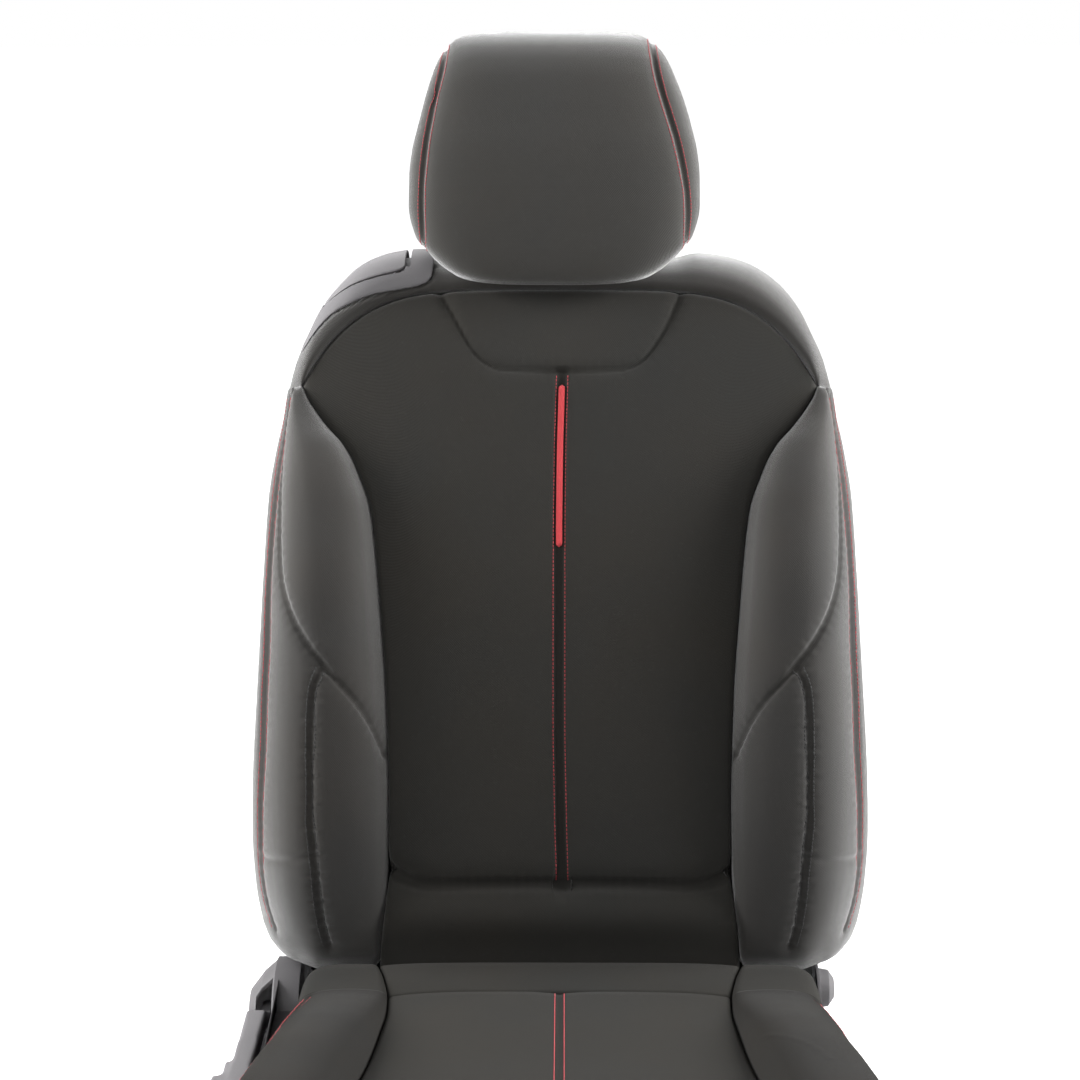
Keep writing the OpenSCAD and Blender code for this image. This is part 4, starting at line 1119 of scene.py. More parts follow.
@dataclass
class Bolster:
    """One side bolster of the backrest, mirrored for the other side."""

    shape: BackShape
    side: Side
    lowest: float = 45.0
    tuck: float = 17.0
    frame_x: float = 226.3
    frame_s: float = 90.0
    frame_lean: float = math.radians(3.5)
    front_points: int = 128
    panel_seam: Knots = (
        (236, 556), (242, 530), (244.5, 500), (244.8, 471), (244, 435), (243, 410), (240.5, 380),
        (231, 351), (218, 328.5), (202, 307.5), (190.5, 294), (174, 276.7), (162.4, 259.6), (156, 245),
        (150.6, 231),
    )
    upright_seam: Knots = (
        (202.5, 305), (209.5, 289), (211, 269), (212, 231), (211.8, 195), (212.5, 176), (209, 140),
        (207, 108), (204, 84), (199, 66),
    )
    outer_seam: Knots = (
        (240, 548), (246, 500), (250, 440), (252.5, 377), (252, 324), (254, 287), (255, 240), (257, 212),
        (259, 185), (259, 166), (260, 147), (260, 127), (256, 100), (249, 80),
    )
    low_crease: Knots = ((212, 144), (228, 141), (246, 140), (262, 143))

    def ring(self, s: float) -> np.ndarray:
        """Gives the bolster's outline at one height.

        Args:
            s: height in mm.

        Returns:
            Points of x and f, front first, then round the back of the pad.
        """
        shape = self.shape
        x0 = float(shape.seam_x(s)) + 0.15
        x1 = float(shape.half_width(s))
        w, f0 = x1 - x0, float(shape.seam_f(s))
        crest = f0 + float(shape.rise(s))
        low = max(28.0, crest - 62)
        frame_x = min(self.frame_x - max(0.0, s - self.frame_s) * math.tan(self.frame_lean), x1 - 14)
        knots = np.array(
            [
                (x0, f0 - 6.5), (x0 + 0.25, f0 - 2.6), (x0 + 0.035 * w, f0 + 0.16 * (crest - f0)),
                (x0 + 0.1 * w, f0 + 0.55 * (crest - f0)), (x0 + 0.22 * w, f0 + 0.86 * (crest - f0)),
                (x0 + 0.4 * w, crest), (x0 + 0.58 * w, crest - 2.5), (x0 + 0.74 * w, crest - 12.5),
                (x0 + 0.87 * w, crest - 0.52 * (crest - low)), (x0 + 0.96 * w, low + 0.3 * (low - 20) + 3),
                (x1, 0.5 * low), (x1, -8), (x1 - 2, -28), (x1 - 10, shape.rear),
            ]
        )
        front = rounded_line(knots, self.front_points)
        walls = [(frame_x, shape.rear), (frame_x, -5.0), (frame_x, shape.pad_rear), (x0 + 8, shape.pad_rear),
                 (x0, shape.pad_rear), (x0, 0.5 * (shape.pad_rear + f0 - 6.5))]
        return np.concatenate([front, np.array(walls)])

    def build(self) -> Cloth:
        """Returns the bolster with its seams pressed in."""
        heights = stations(self.lowest, self.shape.tip - 0.2, 2.0, fine_low=False)
        end = self.lowest + self.tuck * (1 - np.cos(np.linspace(0.12, math.pi / 2, 9)))
        heights = np.concatenate([end[:-1], heights[heights > end[-1]]])
        rows = []
        for s in heights:
            ring = self.ring(max(s, self.lowest))
            top_drop = sewn_edge(np.array([self.shape.tip - s]))[0]
            share = max(0.0, 1 - (s - self.lowest) / self.tuck)
            shrink = 1 - math.sqrt(max(0.0, 1 - share**2)) if share > 0 else 0.0
            middle = np.array([self.shape.seam_x(s) + 50, 20.0])
            ring = ring + (middle - ring) * shrink * np.array([0.25, 0.62])
            ring[:, 1] -= np.where(ring[:, 1] > self.shape.pad_rear, top_drop, 0.0)
            behind = np.clip((48 - ring[:, 1]) / 20, 0, 1)
            raised = (2.0 + 10.0 * behind) * np.clip((ring[:, 0] - 212) / 16, 0, 1)
            raised *= max(0.0, 1 - (s - self.lowest) / 40)
            rows.append(BACK.place(self.side.value * ring[:, 0], ring[:, 1], s + raised))
        cloth = Cloth(f"backrest_bolster_cover_{self.side.word}", np.array(rows))
        if self.side is Side.LEFT:
            cloth.rings = cloth.rings[:, ::-1]
        tree = cloth.tree()
        for knots, depth, width, pucker in (
            (self.panel_seam, 2.6, 1.7, 0.2),
            (self.upright_seam, 2.6, 1.8, 0.4),
            (self.outer_seam, 2.2, 1.7, 0.2),
        ):
            line = back_line(tree, self._mirrored(knots))
            cloth.seam(line, (depth, width), (1.3, 7.0, pucker))
        crease = back_line(tree, self._mirrored(self.low_crease))
        cloth.press(crease, 1.1, 3.5)
        return cloth

    def _mirrored(self, knots: Knots) -> Knots:
        """Returns a line's points on this bolster's side."""
        return tuple((self.side.value * x, s) for x, s in knots)

    def red_rows(self, tree: BVHTree) -> Rows:
        """Returns the twin red lines of stitches along the outer seam."""
        return twin(back_line(tree, self._mirrored(self.outer_seam), 2.0), 4.0)

    def black_rows(self, tree: BVHTree) -> Rows:
        """Returns the twin black lines of stitches along the upright seam."""
        return twin(back_line(tree, self._mirrored(self.upright_seam), 2.0), 4.6)


@dataclass(frozen=True)
class ShoulderLines:
    """Where the edges of the shoulder release run, as height s over the distance outwards, in mm."""

    inner: float = 113.2
    outer: float = 231.0
    rear: float = -28.0
    bezel: Curve = Curve((
        (113, 671), (113.7, 664), (114.8, 658), (117.5, 653.6), (121.5, 650.8), (143.8, 645.2), (166.1, 640.7),
        (185.7, 632.6), (201.7, 623.5), (214.1, 610.9), (223.8, 598.2), (231, 588.5),
    ))
    hinge: float = 148.0
    lever_inner: float = 138.6
    lever_outer: float = 212.0
    lever_rear: float = -20.0
    lever: Curve = Curve(
        ((137.7, 671.5), (139, 668), (142.1, 665.2), (160.9, 659.7), (183.4, 652.5), (203.1, 641.5), (212, 635.5))
    )


@dataclass
class ShoulderRoll:
    """The panel over the top of the backrest, from shoulder to shoulder."""

    shape: BackShape
    lines: ShoulderLines = field(default_factory=ShoulderLines)
    face_points: int = 66
    sunk: float = 11.0
    sleeve_x: float = 70.0
    sleeve_radius: float = 13.0
    taper: Curve = Curve(((0, 1), (0.975, 1), (1.0, 0.97), (1.03, 0.8), (1.055, 0.58), (1.075, 0.3)))
    outboard_drop: Curve = Curve(
        ((100, 0), (118, -3), (150, -3.6), (183, -2.6), (204, 0.8), (220, 0.6), (232, 0.8), (246, 0))
    )

    def ring(self, u: float) -> np.ndarray:
        """Gives the roll's outline at one place across.

        Args:
            u: place across, in half widths of the centre panel; the outboard side is negative.

        Returns:
            Points of f and s, first the face points from the seam over the top to the rear.
        """
        shape = self.shape
        x = abs(u) * float(shape.seam_x(shape.tip))
        low = float(shape.top_seam(np.array(min(abs(u), 1.0)))) + 0.3
        top = float(shape.crown(x)) - (float(self.outboard_drop(x)) if u < 0 else 0.0)
        taper = float(self.taper(abs(u)))
        f, h = float(shape.seam_f(low)) * taper, top - low
        knots = np.array(
            [
                (f - 8, low), (f - 3.2, low + 0.4), (f - 0.4, low + 0.06 * h + 1), (f - 0.5, low + 0.2 * h),
                (f * 0.9, low + 0.46 * h), (f * 0.62, low + 0.77 * h), (f * 0.27, low + 0.95 * h),
                (-4, top + 1.5), (-22, top - 0.04 * h), (-33, top - 0.2 * h),
                (shape.rear, top - 0.45 * h), (shape.rear, low),
            ]
        )
        front = rounded_line(knots, self.face_points)
        under = np.column_stack([np.linspace(shape.rear, f - 8, 6)[1:-1], np.full(4, low)])
        return np.concatenate([front, under])

    @staticmethod
    def outward(line: np.ndarray) -> np.ndarray:
        """Returns the outward direction at each point of an outline of f and s."""
        step = np.gradient(line, axis=0)
        return np.column_stack([step[:, 1], -step[:, 0]]) / np.linalg.norm(step, axis=1, keepdims=True)

    def skin(self, aside: float, low: float, rear: float, count: int) -> np.ndarray:
        """Follows the outboard shoulder at one distance outwards.

        Args:
            aside: distance outwards in mm.
            low: height s where the strip starts in front.
            rear: reach f where it ends behind.
            count: number of points.

        Returns:
            Rows of f, s and the two parts of the outward direction.
        """
        width = float(self.shape.seam_x(self.shape.tip))
        line = arc_resample(self.ring(-aside / width)[: self.face_points], 400)
        outward = self.outward(line)
        first = int(np.argmax(line[:, 1] >= min(low, line[:, 1].max() - 2.0)))
        last = len(line) - 1 - int(np.argmax(line[::-1, 0] >= rear))
        return arc_resample(np.column_stack([line, outward])[first : last + 1], count)

    def hollow(self, u: float, ring: np.ndarray) -> np.ndarray:
        """Sinks the cloth where the shoulder release covers it.

        Args:
            u: place across.
            ring: the roll's outline there.

        Returns:
            The changed outline.
        """
        aside = -u * float(self.shape.seam_x(self.shape.tip))
        if not self.lines.inner + 2.5 < aside < self.lines.outer - 2.0:
            return ring
        front = ring[: self.face_points]
        covered = (front[:, 1] > float(self.lines.bezel(aside)) + 3.0) & (front[:, 0] > self.lines.rear + 3.0)
        sunk = front - self.outward(front) * (covered * self.sunk)[:, None]
        return np.concatenate([sunk, ring[self.face_points :]])

    def build(self) -> Cloth:
        """Returns the roll with its sleeve hollows and seams pressed in."""
        places = np.concatenate(
            [[-1.075, -1.068, -1.055, -1.04, -1.025, -1.01], np.linspace(-1.0, 1.0, 176),
             [1.01, 1.025, 1.04, 1.055, 1.068, 1.075]]
        )
        width = float(self.shape.seam_x(self.shape.tip))
        rows = []
        for u in places:
            ring = self.hollow(u, self.ring(u))
            rows.append(BACK.place(np.full(len(ring), u * width), ring[:, 0], ring[:, 1]))
        cloth = Cloth("shoulder_roll_cover", np.array(rows))
        tree = cloth.tree()
        a = np.linspace(0, 2 * math.pi, 24)
        across, depth = self.sleeve_radius * np.cos(a), self.sleeve_radius * np.sin(a)
        for side in Side:
            ring_line = BACK.place(side.value * self.sleeve_x + across, 14 + depth, 760.0)
            cloth.press(thrown_line(tree, ring_line, -BACK.along()), 1.6, 3.5)
        aside = np.linspace(self.lines.inner, self.lines.outer - 3, 60)
        edge = back_line(tree, list(zip(-aside, self.lines.bezel(aside) - 0.8)))
        cloth.press(edge, 2.6, 1.5)
        return cloth


@dataclass
class Backrest:
    """The backrest's soft covers, its tab and its stitching."""

    wardrobe: Wardrobe
    shape: BackShape = field(default_factory=BackShape)
    tab_low: float = 411.0
    tab_high: float = 556.0
    tab_width: float = 5.8
    tab_base: float = 1.1
    tab_lift: float = 2.5

    def tab(self, tree: BVHTree, centre_x: Curve) -> bpy.types.Object:
        """Makes the raised woven tab in the channel.

        Args:
            tree: the centre panel.
            centre_x: where the channel's middle lies at each height.

        Returns:
            The tab.
        """
        s = np.linspace(self.tab_low, self.tab_high, 74)
        ends = np.minimum(s - s[0], s[-1] - s) / 3.0
        size = np.sqrt(np.clip(1 - (1 - np.clip(ends, 0.0, 1.0)) ** 2, 0.02, 1.0))
        forward = BACK.forward()
        floor = BACK.place(centre_x(s), 0.0, s) + forward * 0.4
        middle = np.array([tree.ray_cast(Vector(point), Vector(-forward))[0][:] for point in floor])
        angles = np.linspace(0, 2 * math.pi, 18, endpoint=False)
        c, q = np.cos(angles), np.sin(angles)
        across = np.copysign(np.abs(c) ** 0.7, c) * self.tab_width / 2
        lift = np.copysign(np.abs(q) ** 0.8, q) * self.tab_lift
        spokes = np.outer(across, (1.0, 0.0, 0.0)) + np.outer(lift, forward)
        rings = middle[:, None] + (self.tab_base * forward + spokes * size[:, None, None]) * MM
        return Cloth("centre_tab_strip", rings).make()

    def build(self) -> None:
        """Builds and dresses the backrest's soft pieces."""
        w, body = self.wardrobe, "backrest"
        centre = CentrePanel(self.shape)
        tree = w.cover(centre.build(), Finish.CENTRE, body, "backrest_centre")
        thin, thick = Stitching(), Stitching(3.6, 3.0, 0.5)
        stitches = thin.sew("centre_stitching", tree, centre.stitch_rows(tree))
        w.dress(stitches, Finish.RED_THREAD, body, "tab_red")
        w.dress(self.tab(tree, centre.centre_x), Finish.TAB_RED, body, "tab_red", "centre_tab")
        for side in Side:
            bolster = Bolster(self.shape, side)
            tree = w.cover(bolster.build(), Finish.SIDE, body, f"backrest_bolster_{side.word}")
            red = thin.sew(f"bolster_stitching_red_{side.word}", tree, bolster.red_rows(tree))
            w.dress(red, Finish.RED_THREAD, body, "tab_red")
            black = thick.sew(f"bolster_stitching_black_{side.word}", tree, bolster.black_rows(tree))
            w.dress(black, Finish.BLACK_THREAD, body, "cover_fabric")
        w.cover(ShoulderRoll(self.shape).build(), Finish.SIDE, body, "backrest_top")


# ---------------------------------------------------------------- headrest


@dataclass
class Headrest:
    """The headrest pad with its twin-stitched side panels."""

    wardrobe: Wardrobe
    thickness: float = 104.0
    seam_points: int = 420
    aside: Curve = Curve(((690, -5.5), (740, -5), (800, -4.8), (840, -6), (878, -7), (883, -4.5), (885.2, 0)))
    low: float = 690.0
    top: float = 885.2
    half_width: Curve = Curve((
        (690, 93), (695, 104), (700, 113.5), (707, 123.5), (725, 130.3), (748, 130.2), (771, 128), (794, 123),
        (817, 117.2), (845, 108.2), (855, 104.2), (863, 100), (870.3, 95), (875.7, 89.2), (879.3, 82.6),
        (881.4, 76), (882.9, 69), (884.2, 56), (885, 34), (885.2, 8),
    ))
    depth_share: Curve = Curve((
        (690, 0.72), (695, 0.86), (707, 0.96), (725, 1), (745, 1), (766, 0.99), (788, 0.96), (810, 0.93),
        (832, 0.89), (848, 0.82), (862, 0.7), (871, 0.57), (878, 0.42), (882, 0.28), (884.4, 0.15),
        (885.2, 0.02),
    ))
    middle: Curve = Curve(((690, 47), (740, 46), (880, 36), (884, 35.5)))
    right_seam: Curve = Curve((
        (690, 97), (698, 108), (706, 112), (720, 113.4), (742, 110.3), (775, 103.4), (808, 93.9),
        (839, 86.3), (860, 83.8), (879, 82.2), (886, 81),
    ))
    left_seam: Curve = Curve((
        (690, -109), (698, -118), (706, -121.5), (726, -122.8), (761, -120.3), (805, -113.9), (844, -105.7),
        (860, -103.6), (874, -102.2), (886, -101),
    ))

    def rows(self) -> np.ndarray:
        """Returns the heights of the pad's rings, closer together at its ends."""
        low = self.low + 10 * (1 - np.cos(np.linspace(0, math.pi / 2, 8)))
        high = self.top - 24 * (1 - np.sin(np.linspace(0, math.pi / 2, 20)))
        return np.concatenate([low, np.linspace(self.low + 12, self.top - 26.5, 84), high])

    def ring(self, s: float) -> np.ndarray:
        """Gives the pad's outline at one height.

        Args:
            s: height in mm.

        Returns:
            Points of x, f and s.
        """
        a = -np.linspace(0, 2 * math.pi, 300, endpoint=False)
        w, d = float(self.half_width(s)), self.thickness * float(self.depth_share(s)) / 2
        c, q = np.cos(a), np.sin(a)
        front = q > 0
        x = w * np.sign(c) * np.abs(c) ** 0.62
        f = float(self.middle(s)) + d * np.sign(q) * np.abs(q) ** np.where(front, 0.6, 0.7)
        slope = 0.8 * max(0.0, self.low + 40 - s) / 40
        return np.column_stack([x + float(self.aside(s)), f, s - slope * (f - 27)])

    def seam(self, side: Side) -> np.ndarray:
        """Gives the seam round one side panel.

        Args:
            side: the panel's side.

        Returns:
            Points in metres, up the front, over the top and down the back.
        """
        front, back = [], []
        seam_x = self.right_seam if side is Side.RIGHT else self.left_seam
        for s in self.rows():
            ring, want = self.ring(s), float(seam_x(s))
            over = ring[:, 0] - want
            for at in np.nonzero(over * np.roll(over, -1) <= 0)[0]:
                after = (at + 1) % len(ring)
                share = over[at] / (over[at] - over[after])
                point = ring[at] + (ring[after] - ring[at]) * share
                (front if point[1] > float(self.middle(s)) else back).append(point)
        line = np.array(front + back[::-1])
        return BACK.place(*line.T)

    def build(self) -> None:
        """Builds and dresses the pad and its stitching."""
        rings = np.array([BACK.place(*self.ring(s).T) for s in self.rows()])
        cloth = Cloth("headrest_cover", rings)
        lines = []
        for side in Side:
            tree = cloth.tree()
            raw = arc_resample(self.seam(side), self.seam_points)
            smooth = rounded_line(raw[::8], self.seam_points)
            line = np.array([tree.find_nearest(Vector(p))[0][:] for p in smooth])
            cloth.seam(line, (2.4, 1.7), (1.2, 7.5, 0.05))
            lines.append(line)
        tree = self.wardrobe.cover(cloth, Finish.HEAD, "headrest", "headrest_pad", HEADREST_FILL)
        rows = [row for line in lines for row in twin(line, 4.3)]
        stitches = Stitching(3.1, 2.4, 0.45).sew("headrest_stitching", tree, rows)
        self.wardrobe.dress(stitches, Finish.RED_THREAD, "headrest", "tab_red")


# ---------------------------------------------------------------- cushion


@dataclass(frozen=True)
class SeatShape:
    """Outlines of the cushion over y, in mm of the shared frame."""

    floor: float = 207.0
    rear: float = 77.0
    tail_rear: float = 157.0
    front: float = -307.0
    nose: float = -296.0
    nose_low: float = 186.0
    nose_slope: float = 1.2
    crown_rise: float = 5.5
    surface: Curve = Curve((
        (-307, 277), (-305, 286), (-300, 297.5), (-294, 307), (-288, 313), (-275, 317.6), (-250, 317.6),
        (-200, 311.2), (-140, 302.4), (-60, 292.5), (40, 285.4), (77, 284), (100, 284.6), (125, 285),
    ))
    half_width: Curve = Curve((
        (-307, 236), (-295, 244), (-260, 252), (-200, 256), (-110, 247.5), (-60, 240.5), (-10, 233),
        (40, 226.5), (77, 221.3), (104, 221), (130, 220), (146, 217), (153, 213), (157, 206),
    ))
    seam_x: Curve = Curve((
        (-307, 170), (-260, 168), (-160, 158), (-60, 148), (0, 144), (40, 141.8), (77, 143.5), (110, 148.5),
        (135, 154), (157, 157),
    ))
    rise: Curve = Curve((
        (-307, 0.1), (-295, 0.5), (-275, 0.8), (-210, 1.1), (-110, 1.2), (-40, 1.0), (10, 0.66), (40, 0.4),
        (77, 0.12), (110, 0.02), (157, 0),
    ))

    def top(self, x: np.ndarray, y: float, w: float, crown: Curve) -> np.ndarray:
        """Gives the height of the middle's cover across the seat.

        Args:
            x: places across.
            y: place along the cushion.
            w: half width of the middle there.
            crown: how much the middle is raised over y.

        Returns:
            The heights, sewn down at both sides.
        """
        z = self.surface(y) + self.crown_rise * (1 - (np.abs(x) / w) ** 4) * crown(y)
        return z - sewn_edge(w + 0.01 - np.abs(x), soft=2.0)

    def under(self, y: float) -> float:
        """Returns the height of the pad's underside at y."""
        return self.nose_low - (y - self.front) * self.nose_slope if y < self.nose else self.floor


def seat_ring(x: np.ndarray, y: float, z: np.ndarray) -> np.ndarray:
    """Returns an outline across the seat at y, given in mm, as points in metres."""
    return np.column_stack([x, np.full(len(x), y), z]) * MM


@dataclass
class SeatCentre:
    """The cushion's middle with its channel and cross seams."""

    shape: SeatShape
    thigh_seam: float = -214.0
    thigh_half: float = 150.0
    channel: Channel = Channel(3.0, 1.4, 1.6)
    channel_run: Curve = Curve(((-307, 0.2), (-280, 1.0), (77, 1.0)))
    crown: Curve = Curve(((-307, 0.0), (-280, 0.7), (60, 1.0), (77, 0.6)))

    def build(self) -> Cloth:
        """Returns the middle with its seams pressed in."""
        shape = self.shape
        rows = []
        for y in stations(shape.front, shape.rear - 0.15, 2.4):
            w = float(shape.seam_x(y)) - 0.15
            x = stations(-w, w, 2 * (w - 7.5) / 110)
            z = shape.top(x, y, w, self.crown) - self.channel_run(y) * self.channel.drop(np.abs(x))
            z -= sewn_edge(np.array(shape.rear - y), radius=3.4, soft=2.0, reach=18.0)
            low = float(shape.under(y))
            across = np.linspace(w, -w, 9)
            ring = np.concatenate(
                [
                    np.column_stack([x, z]),
                    np.column_stack([[w, w], [z[-1] * 0.6 + low * 0.4, z[-1] * 0.2 + low * 0.8]]),
                    np.column_stack([across, np.full(9, low)]),
                    np.column_stack([[-w, -w], [z[0] * 0.2 + low * 0.8, z[0] * 0.6 + low * 0.4]]),
                ]
            )
            rows.append(seat_ring(ring[:, 0], y, ring[:, 1]))
        cloth = Cloth("cushion_centre_cover", np.array(rows))
        tree = cloth.tree()
        across = np.linspace(-1, 1, 21)
        line = seat_line(tree, tuple(zip(self.thigh_half * across, self.thigh_seam - 4.0 * (1 - across**2))))
        cloth.seam(line, (3.2, 3.0), (2.6, 12.0, 0.3))
        return cloth

    def stitch_rows(self, tree: BVHTree) -> Rows:
        """Returns the two lines of stitches along the channel."""
        y = np.linspace(self.shape.rear - 2, self.shape.front + 8, 60)
        aside = self.channel.half + self.channel.stitches
        return [(seat_line(tree, tuple((side.value * aside, at) for at in y), 2.0), 0.0) for side in Side]


@dataclass
class SeatBolster:
    """One raised side of the cushion."""

    shape: SeatShape
    side: Side
    side_rise: float = 26.0
    step: float = 238.0
    inner: float = 224.0
    fullness: Curve = Curve(((-60, 0), (-20, 0.1), (30, 0.6), (70, 1), (157, 1)))
    ridge: Knots = ((157, -58), (177, -94), (192, -122), (202, -155))

    def cover(self, y: float, step: float) -> np.ndarray:
        """Gives the cover over the side at y, from the seam outwards and down.

        Args:
            y: place along the cushion in mm.
            step: height of the cover's lower edge.

        Returns:
            Points of x and z.
        """
        shape = self.shape
        x0, x1 = float(shape.seam_x(y)) + 0.15, float(shape.half_width(y))
        w, z0 = x1 - x0, float(shape.surface(y))
        crest = z0 + self.side_rise * float(shape.rise(y))
        drop = max(min(crest - 26, z0 - 6), step + 8)
        full = float(self.fullness(y))
        fall = crest - drop
        knots = np.array(
            [
                (x0, z0 - 7), (x0 + 0.3, z0 - 2.6), (x0 + 0.05 * w, z0 + 0.25 * (crest - z0)),
                (x0 + 0.13 * w, z0 + 0.66 * (crest - z0)), (x0 + 0.28 * w, z0 + 0.92 * (crest - z0)),
                (x0 + 0.48 * w, crest), (x0 + 0.66 * w, crest - 2.5 + 1.5 * full),
                (x0 + 0.83 * w, crest - (0.37 - 0.22 * full) * fall),
                (x0 + 0.95 * w, crest - (1 - 0.52 * full) * (fall - 3)),
                (x1 + 1.0, crest - (1 - 0.25 * full) * (fall + 8)), (x1, step + 2), (x1 - 2.5, step),
            ]
        )
        return rounded_line(knots, 64)

    def ring(self, y: float) -> np.ndarray:
        """Gives the whole outline of the side at y.

        Args:
            y: place along the cushion in mm.

        Returns:
            Points of x and z.
        """
        low = float(self.shape.under(y))
        step = low if y < self.shape.nose else self.step
        cover = self.cover(y, step)
        x0, top = cover[0]
        inner = min(cover[-1, 0] - 1.5, self.inner)
        walls = [(inner, step), (inner, low), (x0 + 10, low), (x0, low), (x0, 0.5 * (low + top))]
        return np.concatenate([cover, np.array(walls)])

    def build(self) -> Cloth:
        """Returns the bolster with its seams pressed in."""
        rows = []
        for y in stations(self.shape.front, self.shape.rear - 0.03, 2.2, fine_high=False):
            ring = self.ring(y)
            rows.append(seat_ring(self.side.value * ring[:, 0], y, ring[:, 1]))
        cloth = Cloth(f"cushion_bolster_cover_{self.side.word}", np.array(rows))
        if self.side is Side.LEFT:
            cloth.rings = cloth.rings[:, ::-1]
        tree = cloth.tree()
        line = seat_line(tree, self.outer_line())
        cloth.seam(line, (1.8, 1.8), (0.9, 7.0, 0.2))
        if self.side is Side.RIGHT:
            crease = seat_line(tree, self.ridge)
            cloth.press(crease, -0.7, 1.1)
        return cloth

    def outer_line(self) -> Knots:
        """Returns x and y of the seam along the outer side."""
        inset = 13.0 if self.side is Side.LEFT else 9.0
        y = np.linspace(self.shape.front + 14, self.shape.rear - 4, 24)
        return tuple(zip(self.side.value * (self.shape.half_width(y) - inset), y))

    def red_rows(self, tree: BVHTree) -> Rows:
        """Returns the twin red lines of stitches along the outer side."""
        return twin(seat_line(tree, self.outer_line(), 2.0), 4.0)


@dataclass
class SeatTail:
    """The soft rear edge of the cushion, which the backrest presses down when it folds."""

    shape: SeatShape
    floor: float = 246.0
    points: int = 111
    crown: Curve = Curve(((77, 0.6), (157, 0.3)))
    depth: Curve = Curve(((77, 1), (120, 1), (132, 0.97), (141, 0.9), (148, 0.78), (153, 0.64), (157, 0.46)))

    def ring(self, y: float) -> np.ndarray:
        """Gives the tail's outline at y.

        Args:
            y: place along the cushion in mm.

        Returns:
            Points of x and z, from the left over the top to the right, and back underneath.
        """
        shape = self.shape
        side = SeatBolster(shape, Side.RIGHT).cover(y, self.floor)
        w = float(shape.seam_x(y)) - 0.15
        x = respaced(stations(-w, w, 2.7), self.points)
        z = shape.top(x, y, w, self.crown)
        z -= sewn_edge(np.array(y - shape.rear), radius=3.4, soft=2.6, reach=14.0)
        top = np.concatenate([side[::-1] * (-1, 1), np.column_stack([x, z]), side])
        top[:, 1] = self.floor + (top[:, 1] - self.floor) * float(self.depth(y))
        across = np.linspace(top[-1, 0] - 2, -top[-1, 0] + 2, 15)
        return np.concatenate([top, np.column_stack([across, np.full(15, self.floor)])])

    def build(self) -> Cloth:
        """Returns the tail, which carries the cushion's side seams on across it."""
        rows = []
        for y in stations(self.shape.rear + 0.03, self.shape.tail_rear, 2.0, fine_high=False):
            ring = self.ring(y)
            rows.append(seat_ring(ring[:, 0], y, ring[:, 1]))
        return Cloth("cushion_tail_cover", np.array(rows))


@dataclass
class Cushion:
    """The seat cushion's soft covers and stitching."""

    wardrobe: Wardrobe
    shape: SeatShape = field(default_factory=SeatShape)

    def build(self) -> None:
        """Builds and dresses the cushion's soft pieces."""
        w, body = self.wardrobe, "seat_frame"
        centre = SeatCentre(self.shape)
        # The cushion wears the darker copies of the cloth, painted shade for the backrest's shadow over it.
        tree = w.cover(centre.build(), Finish.SEAT_CENTRE, body, "cushion_centre")
        thin = Stitching()
        stitches = thin.sew("cushion_stitching", tree, centre.stitch_rows(tree))
        w.dress(stitches, Finish.RED_THREAD, body, "tab_red")
        for side in Side:
            bolster = SeatBolster(self.shape, side)
            tree = w.cover(bolster.build(), Finish.SEAT_SIDE, body, f"cushion_bolster_{side.word}")
            red = thin.sew(f"cushion_stitching_red_{side.word}", tree, bolster.red_rows(tree))
            w.dress(red, Finish.RED_THREAD, body, "tab_red")
        tail = SeatTail(self.shape).build().make()
        w.put_on(tail, Finish.SEAT_CENTRE)
        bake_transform(tail)
        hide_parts("cushion_tail")
        LOG.info("%s bends between seat_frame and backrest", tail.name)


# ---------------------------------------------------------------- hard trim


